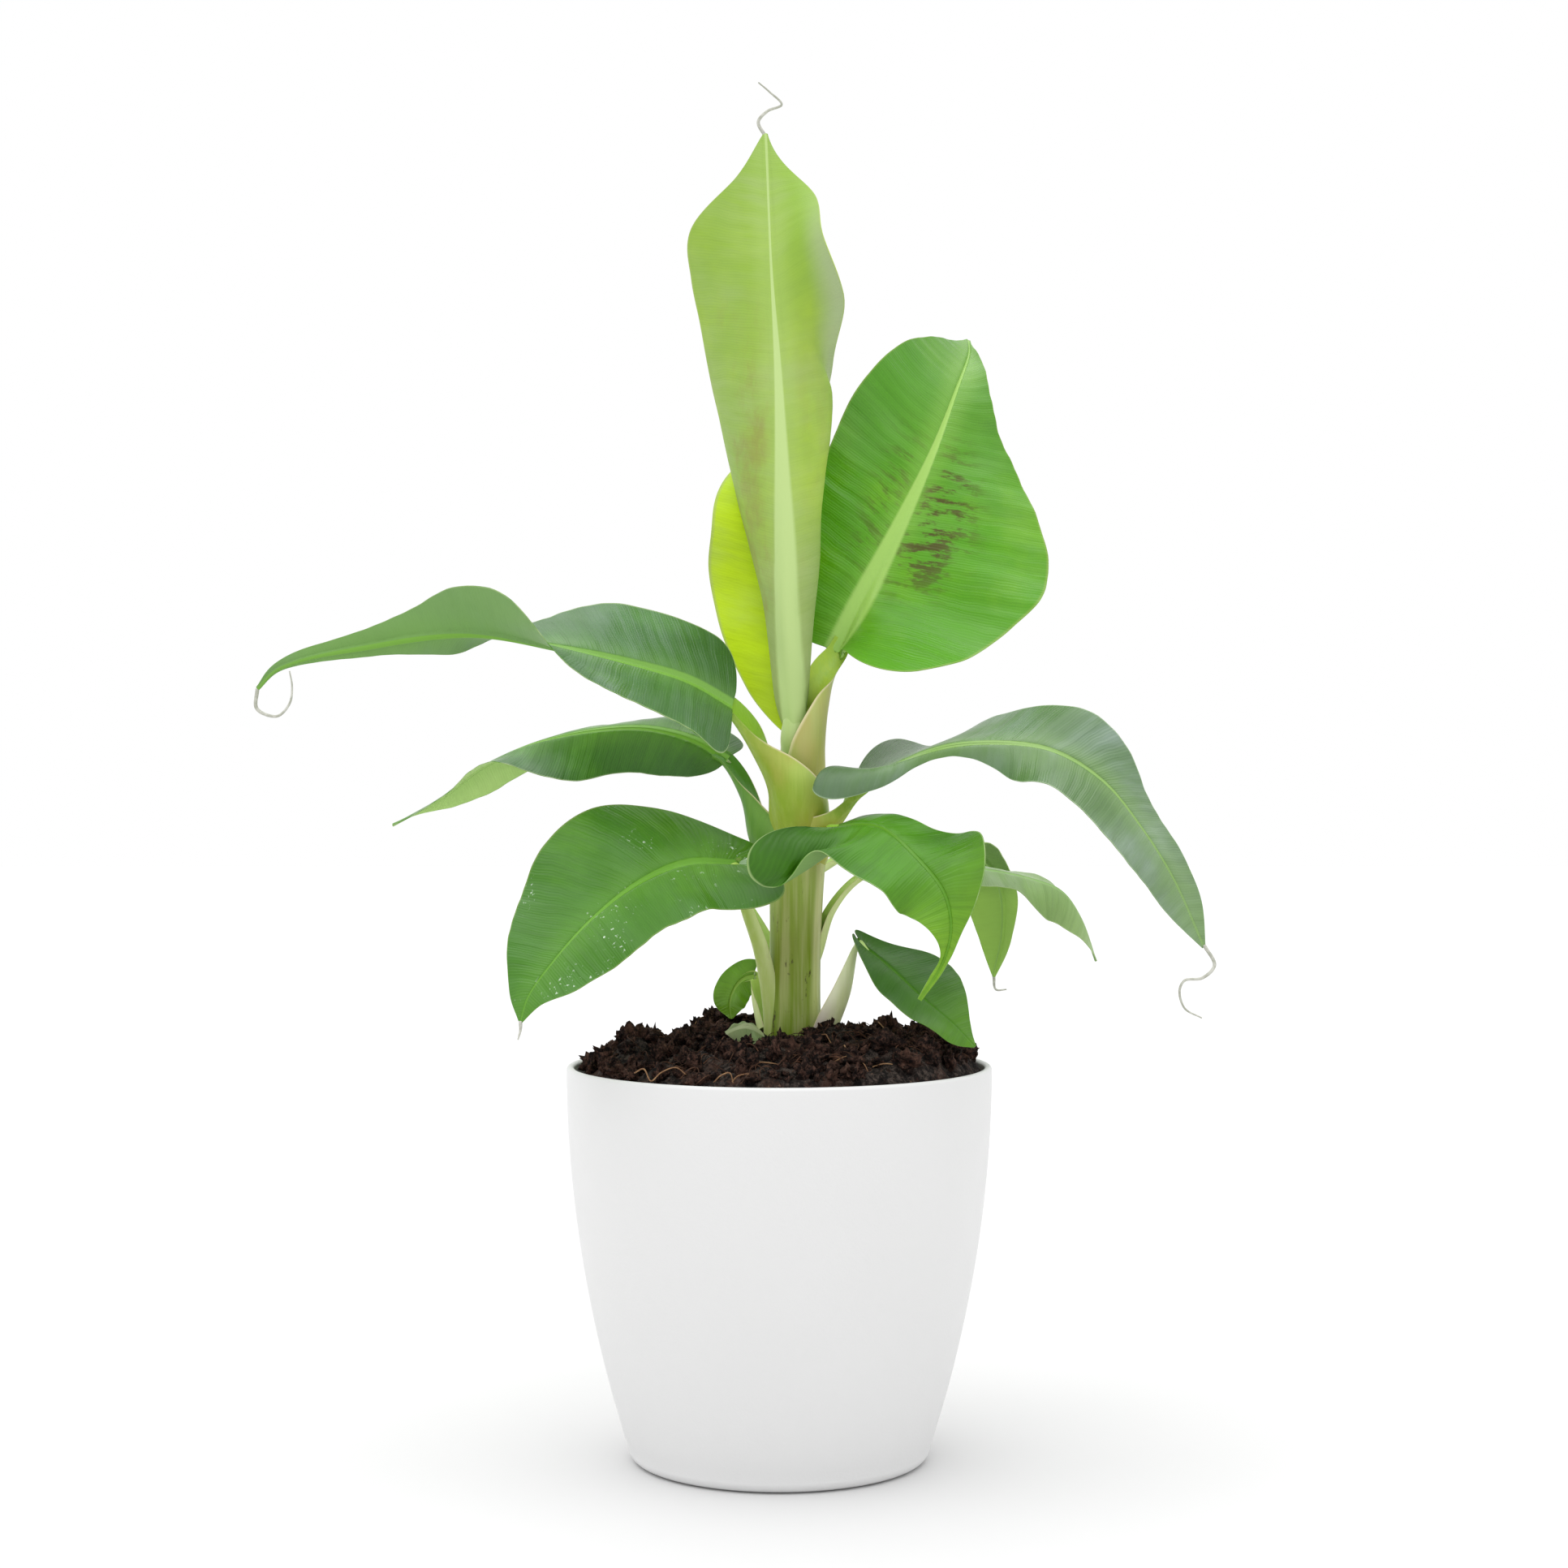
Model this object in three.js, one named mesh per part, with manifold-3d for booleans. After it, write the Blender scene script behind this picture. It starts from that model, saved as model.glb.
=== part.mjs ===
// A young dwarf banana plant in a round plant pot, in millimetres.
// +Z is up, -Y is the plant's front, and the origin is the centre of the pot's flat underside.
import * as THREE from "three";
import { mergeVertices } from "three/addons/utils/BufferGeometryUtils.js";
import Module from "manifold-3d";

const wasm = await Module();
wasm.setup();

// ---------------------------------------------------------------- driving sizes
const GAP = 0.3; // clearance that neighbouring pieces keep
const SPLIT_GAP = 0.9; // clearance between the two halves of a blade made in two

const POT = {
  height: 166,
  rimRadius: 90,
  baseRadius: 62.3,
  footRound: 5,
  wall: 3.2,
  floor: 4,
  lipRound: 1.4,
};

const SOIL = {
  edgeDrop: 2, // how far the soil's edge lies below the rim
  crown: 12, // how far the mound stands above its edge, at the stem
  lumpHeight: 3.4,
  lumpRadius: 11,
  lumps: 46,
  seed: 7,
  rings: 10,
};

const STEM = {
  foot: [6.5, 0, 174],
  middle: [8, 0, 236],
  top: [10.5, 1.5, 303],
  // radius from the flare at the soil to the mouth of the sheaths
  radii: [12.4, 11.3, 11.2, 11.5, 12.2, 13.6, 12.6, 10.4],
};

const ROUND = 36; // faces round the pot and the soil
const STEM_SIDES = 16;
const STALK_SIDES = 8;
const BLADE_THICKNESS = 1.7;
const LONG_BLADE_THICKNESS = 2.5; // of blades longer than 170, about a hundredth of the longest
const TAIL_RADIUS = 0.7;

const COLOURS = {
  leaf: 0x4c8f35,
  youngLeaf: 0x9cc456,
  stalk: 0xa3c264,
  stem: 0x9fb45a,
  soil: 0x3a2c27,
  pot: 0xf0f0f0,
};

// ---------------------------------------------------------------- leaves
// Each leaf is a stalk, a blade and, on some, the dry thread at the blade's tip.
//   midrib     places that the middle of the blade passes through, from its foot to its tip
//   face       the way its upper side looks at the foot
//   roll       turn about the midrib, in degrees, at even stations from foot to tip
//   left/right the two halves, seen from above with the foot nearest. widths, in mm, rise above
//              level at the midrib and further curl to the margin, in degrees, all stand at even
//              stations. lobe is how far the rounded shoulder reaches back past the foot, and
//              turnEnd the share of the half that curls, where it isn't the whole
//   rib        width of the midrib at the foot and at the tip
const LEAVES = {
  spear: {
    blade: {
      midrib: [[7, -4, 304], [3, -12, 348], [2, -14, 396], [0, -11, 451], [-3, -4, 503], [-6, 8, 563]],
      face: [0, 1, 0.05],
      roll: [0, 0],
      left: {
        widths: [24.8, 42.5, 59.5, 71.5, 78.6, 77.5, 81, 83.3, 70.5, 34.8, 28.8, 26.8, 21.7, 13.9, 0],
        rise: [6, 6, -13, -8, -23, 28],
        curl: [169, 165, 185, 99, -19, 56],
        lobe: 0,
        turnEnd: 0.55,
      },
      right: {
        widths: [24.9, 30.1, 35.7, 41.7, 48.4, 50.1, 51.1, 51, 48.6, 45, 42, 40.3, 35.4, 12.6, 0],
        rise: [35, 38, 18, 14, 15, -8],
        curl: [94, 110, 107, 75, 29, 0],
        lobe: 0,
      },
      rib: [9, 2],
      ripple: 1,
      rows: 18,
      columns: 14,
    },
    tail: [[-6, 8, 562], [-9, 8, 568], [-5, 9, 573], [1, 10, 576], [-4, 9, 581], [-9, 8, 585]],
    young: true,
  },
  right_upper: {
    stalk: { path: [[13, 5, 292], [16, 10, 318], [25, 15.5, 341]], radii: [9, 7, 5] },
    blade: {
      midrib: [
        [25, 16, 342], [34, 20, 361], [52, 30, 397], [68, 42, 432],
        [79, 58, 461], [86, 80, 480], [87.2, 99, 490],
      ],
      face: [0.2, -0.95, 0.2],
      roll: [0, 0],
      left: {
        widths: [19, 23, 28, 34, 39.5, 41, 40.7, 42, 34.8, 28.4, 20, 7.9, 0],
        rise: [-17, -16, -15, -9, 1, 1, 0],
        curl: [-1, -1, 0, 20, -3],
        lobe: 11,
      },
      right: {
        widths: [50.7, 52.7, 55.4, 62.5, 68.7, 65.8, 54.6, 39.9, 22.4, 12.9, 7.3, 2.2, 0],
        rise: [83, 17, 8, -2, -2, 34, 85],
        curl: [20, 3, 0, 17, 54],
        lobe: 28,
      },
      rib: [7, 2],
      ripple: 1.5,
      rows: 16,
      columns: 10,
    },
  },
  left_upper: {
    stalk: { path: [[7, -8, 282], [-5, -14, 302], [-19, -20, 318]], radii: [8, 4.5] },
    blade: {
      midrib: [
        [-19, -20, 318], [-37, -28, 328], [-57, -36, 334], [-89, -46, 341], [-124, -54, 346],
        [-166, -62, 340], [-200, -68, 331], [-208, -69, 323],
      ],
      face: [-0.1, -0.7, 0.7],
      roll: [0, 10, 45, 90, 110, 100],
      left: {
        widths: [34.8, 32.3, 28.7, 27.8, 28.7, 29.9, 29.8, 21.7, 11.6, 7.3, 4.3, 2.6, 0],
        rise: [3, 2, -10, 3, 23, 14, 5],
        curl: [-7, 0, 1, 10, 8],
        lobe: 12,
      },
      right: {
        widths: [26.1, 31.3, 33.7, 34, 32.8, 28, 21.3, 14.5, 8.8, 4.7, 2.3, 0.9, 0],
        rise: [9, 6, 21, 16, 6, 1, -2],
        curl: [-3, -4, 5, 3, 0],
        lobe: 3,
      },
      rib: [7, 1.6],
      ripple: 1,
      split: 0.5,
      rows: 22,
      columns: 10,
    },
    tail: [
      [-208, -69, 323], [-208, -70, 315], [-200, -70, 312],
      [-195, -70, 317], [-194, -70, 324], [-195, -70, 330],
    ],
  },
  right_mid: {
    stalk: { path: [[14, -4, 266], [22, -12, 274], [30, -20, 282]], radii: [8, 4.5] },
    blade: {
      midrib: [
        [30, -20, 282], [47, -30, 293], [68, -38, 301], [96, -46, 302], [113, -52, 298],
        [131, -58, 286], [145, -64, 268], [157, -68, 248], [169, -72, 220],
      ],
      face: [-0.3, -0.5, 0.9],
      roll: [0, 0],
      left: {
        widths: [42.7, 39.2, 36.2, 33.8, 31.9, 28.4, 24.3, 20.4, 15.6, 13, 10.4, 7.1, 0],
        rise: [-4, -22, -9, 14, -6, 1, 13],
        curl: [11, -10, 8, -2, 4],
        lobe: 0,
      },
      right: {
        widths: [47, 17.6, 8.2, 5.1, 7.3, 16.7, 21.4, 23.6, 24.1, 22.3, 15.5, 9.2, 0],
        rise: [191, 9, -46, -5, 9, 2, -10],
        curl: [-214, -33, -1, -3, -3],
        lobe: 25,
      },
      rib: [7, 1.6],
      ripple: 1,
      split: 0.52,
      rows: 20,
      columns: 10,
    },
    tail: [
      [169, -72, 221], [173, -73, 213], [168, -74, 208], [161, -74, 207],
      [159, -74, 203], [161, -74, 196], [168, -73, 192],
    ],
  },
  left_mid: {
    stalk: { path: [[-2, 2, 263], [-12, 6, 282], [-22, 8, 296]], radii: [8, 4.2] },
    blade: {
      midrib: [
        [-22, 8, 296], [-35, 12, 304], [-52, 17, 309], [-68, 22, 310], [-92, 28, 307],
        [-114, 33, 301], [-132, 38, 292], [-148, 42, 280], [-171, 46, 267],
      ],
      face: [-0.4, -0.3, 0.9],
      roll: [0, 0],
      left: {
        widths: [12.9, 16.4, 19, 19.8, 20.2, 21.8, 20.9, 18.6, 14.2, 9.8, 5.9, 2.8, 0],
        rise: [-47, -56, -56, -35, 11, 7, -9],
        curl: [-8, -1, 15, 33, 15],
        lobe: 0,
      },
      right: {
        widths: [18.2, 18.5, 18.6, 18.7, 18.5, 18.2, 17.9, 17.8, 18.4, 17.1, 9.7, 3.7, 0],
        rise: [-4, -12, -19, -30, -56, -64, -50],
        curl: [-11, -11, -12, -21, -3],
        lobe: 8,
      },
      rib: [6.5, 1.6],
      ripple: 1,
      rows: 18,
      columns: 10,
    },
  },
  front: {
    stalk: { path: [[15, -8, 240], [17.5, -20, 252], [18.6, -31, 265.5]], radii: [6, 4.2] },
    blade: {
      midrib: [
        [19, -32, 267], [30, -38, 269], [42, -48, 267.5], [55, -62, 256], [66, -73, 241],
        [68, -78, 226], [64, -79, 213], [55.5, -79, 199.7],
      ],
      face: [-0.4, -0.3, 0.9],
      roll: [0, 0],
      left: {
        widths: [14.1, 13.4, 12.7, 13.4, 17.9, 23.3, 25.6, 20.8, 12.6, 4.2, 1.4, 0.5, 0],
        rise: [-26, -9, -18, 17, 45, 32, 14],
        curl: [-1, 4, 14, 17, 11],
        lobe: 0,
      },
      right: {
        widths: [47.9, 48.3, 38.3, 31.7, 27.7, 24.2, 20.7, 18.6, 15, 7.9, 0.9, 0.8, 0],
        rise: [28, -15, -2, -9, -8, -24, -23, -15, -4],
        curl: [12, 14, -6, -9, -4],
        lobe: 33,
      },
      rib: [6, 1.4],
      ripple: 1.5,
      rows: 18,
      columns: 10,
    },
  },
  left_low: {
    stalk: {
      path: [[-4, -2, 191], [-8, -8, 215], [-14, -16, 236], [-16.3, -25.5, 250.5]],
      radii: [5, 3.6],
    },
    blade: {
      midrib: [
        [-16, -27, 252], [-37, -40, 253], [-57, -54, 245], [-76, -66, 230],
        [-90, -74, 214], [-99, -78, 201], [-102, -80, 191],
      ],
      face: [-0.3, -0.6, 0.8],
      roll: [0, 0],
      left: {
        widths: [32.3, 32.2, 27.8, 27, 27.5, 27.7, 27.3, 26.6, 23.4, 19.4, 15.3, 8, 0],
        rise: [18, -15, -6, 0, -5, -8, 6],
        curl: [3, -11, -10, -6, 2],
        lobe: 17,
      },
      right: {
        widths: [6.4, 16.2, 25, 32.8, 39.2, 41.3, 41, 38.3, 33.1, 26.8, 20.1, 10.1, 0],
        rise: [26, 22, 30, 15, 5, 5, -9],
        curl: [-19, -12, -6, -2, 0],
        lobe: 32,
      },
      rib: [5.5, 1.4],
      ripple: 0.8,
      rows: 16,
      columns: 10,
    },
    tail: [[-102, -80, 191.5], [-102, -80, 188], [-103, -80, 184]],
  },
  back_right: {
    stalk: { path: [[10, 12, 246], [18, 25, 249], [30, 42, 255.5]], radii: [5.5, 4] },
    blade: {
      midrib: [
        [31, 43.5, 256], [55, 66, 263], [78, 84, 260], [95, 98, 250],
        [103, 107, 236], [104, 112, 215], [100, 114, 195],
      ],
      face: [0, -0.1, 1],
      roll: [0, 0],
      left: {
        widths: [21.1, 22.6, 23.8, 24.6, 24.5, 23.6, 22, 21, 20, 19, 16, 9, 0],
        rise: [11, 10, 9, 4, -3, -15, -16],
        curl: [-32, -27, -19, -12, -7],
        lobe: 8,
      },
      right: {
        widths: [16, 19, 21.5, 22.4, 21.6, 19.9, 17.5, 14.3, 10.5, 7.5, 6, 4, 0],
        rise: [10, 10, 9, 8, 6, 1, 1],
        curl: [-32, -26, -16, -4, 3],
        lobe: 8,
      },
      rib: [5.5, 1.4],
      ripple: 1.2,
      rows: 16,
      columns: 10,
    },
    tail: [[100, 114, 196], [101, 114, 189], [106, 114, 189]],
  },
  right_low: {
    stalk: { path: [[15, 0, 212], [21, 3, 231], [32, 9, 244], [44, 14, 249]], radii: [5, 3.4] },
    blade: {
      midrib: [
        [45, 14.5, 250], [67, 20, 251], [90, 27, 248], [109, 33, 244],
        [124, 38, 238], [133, 42, 226], [140, 45, 207],
      ],
      face: [0, -0.3, 0.95],
      roll: [0, 0],
      left: {
        widths: [15.8, 16.5, 17.2, 17.4, 17, 15.7, 13.5, 10.7, 8.5, 7.3, 6.4, 2.8, 0],
        rise: [-2, -5, -5, -7, -2, -6, -3],
        curl: [-20, -18, -17, -1, -2],
        lobe: 6,
      },
      right: {
        widths: [14.7, 14, 13.2, 12.1, 10.8, 9.4, 9.7, 14.1, 16.6, 16.3, 12.5, 6.6, 0],
        rise: [1, -7, -17, -26, -44, -33, -13],
        curl: [-21, -17, -11, -10, 0],
        lobe: 5,
      },
      rib: [5, 1.4],
      ripple: 0.8,
      rows: 16,
      columns: 8,
    },
  },
  back_left: {
    stalk: { path: [[-2, 8, 211], [-11, 24, 227], [-21.5, 43, 241.5]], radii: [5.5, 3.8] },
    blade: {
      midrib: [
        [-22, 44, 242], [-37, 66, 251], [-54, 88, 253],
        [-70, 108, 246], [-82, 124, 232], [-89, 132, 214],
      ],
      face: [0, -0.1, 1],
      roll: [0, 0],
      left: {
        widths: [20, 25, 28, 26, 18, 9, 0],
        rise: [10, 10, 5, 0, 0],
        curl: [-30, -30, -20, 0, 0],
        lobe: 6,
      },
      right: {
        widths: [20, 25, 28, 26, 18, 9, 0],
        rise: [10, 10, 5, 0, 0],
        curl: [-30, -30, -20, 0, 0],
        lobe: 6,
      },
      rib: [5.5, 1.4],
      ripple: 1.2,
      rows: 16,
      columns: 10,
    },
  },
  small_right: {
    stalk: { path: [[18, -8, 180], [25, -12, 198], [32, -15.5, 216]], radii: [5, 3] },
    blade: {
      midrib: [[33, -16, 219], [47, -24, 208], [60, -30, 196], [72, -34, 186], [80.5, -36, 177]],
      face: [0.3, -0.6, 0.7],
      roll: [0, 0],
      left: {
        widths: [3.4, 7.9, 12.8, 17.1, 20.6, 22.7, 22.7, 21.3, 19, 14.9, 8.9, 3.9, 0],
        rise: [-7, -4, 3, 7, 7, 1, -5],
        curl: [-15, -9, -1, 1, -2],
        lobe: 15,
      },
      right: {
        widths: [10.4, 10.8, 11.4, 12, 12.6, 13, 13, 12.6, 11.9, 10.9, 9.3, 6, 0],
        rise: [55, 19, 1, -1, 1, -3, -11],
        curl: [18, 0, -2, -1, -5],
        lobe: 5,
      },
      rib: [3.4, 1.2],
      ripple: 0.4,
      rows: 14,
      columns: 8,
    },
  },
  small_left: {
    stalk: { path: [[-5, 8, 180], [-8, 14, 192], [-10.5, 18, 200.5]], radii: [3.6, 2] },
    blade: {
      midrib: [[-11, 19, 202], [-15, 21.5, 201], [-19, 24, 197], [-21.5, 26, 190], [-21, 27, 183]],
      face: [-0.1, -0.95, 0.2],
      roll: [0, 0],
      left: {
        widths: [4.5, 6.5, 7.5, 8, 8, 6, 0],
        rise: [-10, -6, 0, 4, 0],
        curl: [0, 0, 0, 0, 0],
        lobe: 2,
      },
      right: {
        widths: [6, 7.5, 8.5, 9, 9, 6.5, 0],
        rise: [-20, -10, 0, 4, 0],
        curl: [0, 0, 0, 0, 0],
        lobe: 4,
      },
      rib: [2.6, 1],
      ripple: 0.2,
      rows: 10,
      columns: 6,
    },
  },
};

// ---------------------------------------------------------------- small helpers
const vec = (p) => new THREE.Vector3(...p);
const radians = THREE.MathUtils.degToRad;
const { lerp, clamp } = THREE.MathUtils;

// The value at t of a list of values that stand at even stations, on a smooth curve through them.
function station(values, t) {
  const last = values.length - 1;
  const place = clamp(t, 0, 1) * last;
  const low = Math.min(Math.floor(place), last - 1);
  const slope = (i) => {
    const step = i > 0 && i < last ? 2 : 1;
    return (values[Math.min(i + 1, last)] - values[Math.max(i - 1, 0)]) / step;
  };
  const f = place - low;
  return (
    values[low] * (2 * f ** 3 - 3 * f ** 2 + 1) +
    slope(low) * (f ** 3 - 2 * f ** 2 + f) +
    values[low + 1] * (3 * f ** 2 - 2 * f ** 3) +
    slope(low + 1) * (f ** 3 - f ** 2)
  );
}

// A repeatable random number from 0 to 1 for each call.
function randomFrom(seed) {
  let state = seed;
  return () => {
    state = (state * 16807) % 2147483647;
    return state / 2147483647;
  };
}

// A closed geometry with its shared corners joined, and nothing but positions.
function welded(geometry) {
  geometry.deleteAttribute("normal");
  geometry.deleteAttribute("uv");
  return mergeVertices(geometry, 1e-3);
}

function solid(geometry) {
  const closed = welded(geometry);
  const made = new wasm.Manifold(
    new wasm.Mesh({
      numProp: 3,
      vertProperties: closed.attributes.position.array,
      triVerts: new Uint32Array(closed.index.array),
    }),
  );
  return made.volume() < 0 ? solid(flipped(closed)) : made;
}

function flipped(geometry) {
  const index = geometry.index.array;
  for (let i = 0; i < index.length; i += 3) [index[i + 1], index[i + 2]] = [index[i + 2], index[i + 1]];
  return geometry;
}

function geometryOf(manifold) {
  const largest = manifold.decompose().sort((a, b) => b.volume() - a.volume())[0];
  const mesh = largest.getMesh();
  const places = new Float32Array(mesh.numVert * 3);
  for (let i = 0; i < mesh.numVert; i++) {
    places.set(mesh.vertProperties.subarray(i * mesh.numProp, i * mesh.numProp + 3), i * 3);
  }
  const geometry = new THREE.BufferGeometry();
  geometry.setAttribute("position", new THREE.BufferAttribute(places, 3));
  return geometry.setIndex(new THREE.BufferAttribute(mesh.triVerts, 1));
}

// ---------------------------------------------------------------- curves with a side and a face
const SAMPLES = 160;

// A curve through some places, with a frame that turns as little as it can along it.
class Spine {
  constructor(places, face, roll = [0, 0]) {
    this.curve = new THREE.CatmullRomCurve3(places.map(vec), false, "centripetal");
    this.curve.arcLengthDivisions = 4 * SAMPLES;
    this.roll = roll;
    this.points = this.curve.getSpacedPoints(SAMPLES);
    this.tangents = this.points.map((_, i) => this.curve.getTangentAt(i / SAMPLES));
    const first = vec(face);
    first.addScaledVector(this.tangents[0], -first.dot(this.tangents[0])).normalize();
    this.faces = [first];
    for (let i = 1; i <= SAMPLES; i++) this.faces.push(this.carried(i));
  }

  // The face at sample i, carried on from the one before by two reflections.
  carried(i) {
    const step = this.points[i].clone().sub(this.points[i - 1]);
    const reflect = (v, axis) => v.clone().addScaledVector(axis, (-2 * v.dot(axis)) / axis.dot(axis));
    const face = reflect(this.faces[i - 1], step);
    const tangent = reflect(this.tangents[i - 1], step);
    const second = this.tangents[i].clone().sub(tangent);
    return second.lengthSq() < 1e-12 ? face : reflect(face, second);
  }

  get length() {
    return this.curve.getLength();
  }

  // The place, direction, face and right-hand side at t, from 0 at the foot to 1 at the tip.
  at(t) {
    const place = clamp(t, 0, 1) * SAMPLES;
    const low = Math.min(Math.floor(place), SAMPLES - 1);
    const mix = (list) => list[low].clone().lerp(list[low + 1], place - low);
    const along = mix(this.tangents).normalize();
    const face = mix(this.faces);
    face.addScaledVector(along, -face.dot(along)).normalize();
    face.applyAxisAngle(along, radians(station(this.roll, t)));
    return { point: mix(this.points), along, face, right: along.clone().cross(face) };
  }
}

// A limb with a round section, whose radius follows the list of radii from foot to tip.
function limb(path, radii, sides, steps, grow = 0, flatness = 1) {
  const spine = new Spine(path, [0.1, 1, 0.2]);
  const stretch = 1 + (2 * grow) / spine.length;
  const geometry = new THREE.CylinderGeometry(1, 1, 1, sides, steps);
  const places = geometry.attributes.position;
  for (let i = 0; i < places.count; i++) {
    const t = places.getY(i) + 0.5;
    const { point, along, face, right } = spine.at(t);
    const radius = station(radii, t) + grow;
    point.addScaledVector(along, (t - 0.5) * (stretch - 1) * spine.length);
    point.addScaledVector(right, places.getX(i) * radius);
    point.addScaledVector(face, places.getZ(i) * radius * flatness);
    places.setXYZ(i, point.x, point.y, point.z);
  }
  return solid(geometry);
}

// ---------------------------------------------------------------- leaf blades
const SHOULDER = 0.08; // share of the blade over which its foot is rounded

// How far the foot has opened at t, from 0 at the stalk to 1 where the shoulder ends.
const opening = (t) => 1 - (1 - Math.min(t / SHOULDER, 1)) ** 2;

// How wide one half is at t, closing in a round at the foot and in a point at the tip.
const halfWidth = (half, t) => Math.max(0, station(half.widths, t)) * Math.sqrt(opening(t));

const CURL_STEPS = 24;

// How far out and how far up a point of one half lies, at the share u of its width.
function section(half, t, u) {
  const rise = radians(station(half.rise, t));
  const curl = radians(station(half.curl, t));
  const width = halfWidth(half, t);
  let out = 0;
  let up = 0;
  for (let i = 0; i < CURL_STEPS; i++) {
    const share = ((i + 0.5) / CURL_STEPS) * u;
    const angle = rise + curl * Math.min(1, share / (half.turnEnd ?? 1));
    out += (Math.cos(angle) * width * u) / CURL_STEPS;
    up += (Math.sin(angle) * width * u) / CURL_STEPS;
  }
  return [out, up];
}

const RIPPLES = 3.5; // waves of the margin from foot to tip
const MIN_HALF_WIDTH = 0.9;

// The blade's middle surface as a function of t along it and u across it, from -1 left to 1 right.
function bladeSurface(blade) {
  const spine = new Spine(blade.midrib, blade.face, blade.roll);
  return (t, u) => {
    const half = u < 0 ? blade.left : blade.right;
    const side = u < 0 ? -1 : 1;
    const reach = Math.abs(u);
    const [out, up] = section(half, t, reach);
    const { point, along, face, right } = spine.at(t);
    const beat = 2 * Math.PI * (RIPPLES * t + (u < 0 ? 0.2 : 0.6));
    const ripple = blade.ripple * reach ** 2 * Math.sin(Math.PI * t) * Math.sin(beat);
    point.addScaledVector(right, side * (out + reach * MIN_HALF_WIDTH));
    point.addScaledVector(face, up + ripple);
    point.addScaledVector(along, -half.lobe * reach ** 1.5 * (1 - t) ** 6 * opening(t));
    return point;
  };
}

const DIFFERENCE = 1e-3;

function surfaceNormal(surface, t, u) {
  const t0 = clamp(t, DIFFERENCE, 1 - DIFFERENCE);
  const u0 = clamp(u, -1 + DIFFERENCE, 1 - DIFFERENCE);
  const alongT = surface(t0 + DIFFERENCE, u0).sub(surface(t0 - DIFFERENCE, u0));
  const alongU = surface(t0, u0 + DIFFERENCE).sub(surface(t0, u0 - DIFFERENCE));
  return alongU.cross(alongT).normalize();
}

// A blade is a box whose top and bottom are laid on the two sides of its surface, from one
// share of its length to another.
function bladeSolid(blade, from = 0, to = 1) {
  const surface = bladeSurface(blade);
  const spineLength = new Spine(blade.midrib, blade.face).length;
  const thickness = spineLength > 100 * BLADE_THICKNESS ? LONG_BLADE_THICKNESS : BLADE_THICKNESS;
  const rows = Math.ceil(blade.rows * (to - from));
  const geometry = new THREE.BoxGeometry(2, 1, 1, blade.columns, 1, rows);
  const places = geometry.attributes.position;
  for (let i = 0; i < places.count; i++) {
    const across = places.getX(i);
    const u = Math.sign(across) * Math.abs(across) ** 1.25;
    const even = places.getZ(i) + 0.5;
    const t = lerp(from, to, even - 0.1 * Math.sin(2 * Math.PI * even));
    const normal = surfaceNormal(surface, t, u);
    const point = surface(t, u);
    const upper = places.getY(i) > 0;
    const rib = (Math.max(0, 1 - Math.abs(across) * 2.5) * lerp(blade.rib[0], blade.rib[1], t)) / 2;
    point.addScaledVector(normal, upper ? thickness / 2 : -thickness / 2 - rib);
    places.setXYZ(i, point.x, point.y, point.z);
  }
  return solid(geometry);
}

// ---------------------------------------------------------------- pot and soil
// The radius of the pot's outside at a height, on a parabola that steepens to the rim.
function potRadius(z) {
  return POT.baseRadius + (POT.rimRadius - POT.baseRadius) * (1 - (1 - z / POT.height) ** 2);
}

// Points of a quarter round from one direction to another, both in degrees.
function arc(centre, radius, from, to, steps) {
  return Array.from({ length: steps + 1 }, (_, i) => {
    const angle = radians(lerp(from, to, i / steps));
    return new THREE.Vector2(centre[0] + radius * Math.cos(angle), centre[1] + radius * Math.sin(angle));
  });
}

function heights(from, to, steps) {
  return Array.from({ length: steps }, (_, i) => lerp(from, to, (i + 1) / (steps + 1)));
}

function revolve(profile) {
  const geometry = new THREE.LatheGeometry(profile, ROUND);
  geometry.rotateX(Math.PI / 2);
  return solid(geometry);
}

function potSolid() {
  const { height, footRound, wall, floor, lipRound } = POT;
  const foot = potRadius(footRound) - footRound;
  const outer = potRadius(height);
  const inside = (z) => potRadius(z) - wall;
  const profile = [
    new THREE.Vector2(0, 0),
    ...arc([foot, footRound], footRound, -90, 0, 3),
    ...heights(footRound, height - lipRound, 5).map((z) => new THREE.Vector2(potRadius(z), z)),
    ...arc([outer - lipRound, height - lipRound], lipRound, 0, 90, 2),
    new THREE.Vector2(outer - wall + lipRound / 2, height),
    ...heights(height, floor, 3).map((z) => new THREE.Vector2(inside(z), z)),
    new THREE.Vector2(inside(floor), floor),
    new THREE.Vector2(0, floor),
  ];
  return revolve(profile);
}

// The soil's top: a mound round the stem with rounded lumps scattered over it.
function soilTop() {
  const random = randomFrom(SOIL.seed);
  const edge = potRadius(POT.height) - POT.wall;
  const lumps = Array.from({ length: SOIL.lumps }, () => {
    const angle = 2 * Math.PI * random();
    const radius = edge * 0.9 * Math.sqrt(random());
    const size = 0.5 + random();
    return { x: radius * Math.cos(angle), y: radius * Math.sin(angle), size };
  });
  return (x, y) => {
    const share = clamp(Math.hypot(x - STEM.foot[0], y) / edge, 0, 1);
    let z = POT.height - SOIL.edgeDrop + SOIL.crown * (1 - share ** 4);
    for (const lump of lumps) {
      const away = Math.hypot(x - lump.x, y - lump.y) / (SOIL.lumpRadius * lump.size);
      if (away < 1) z += SOIL.lumpHeight * lump.size * (1 - away ** 2) ** 2;
    }
    return z;
  };
}

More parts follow.
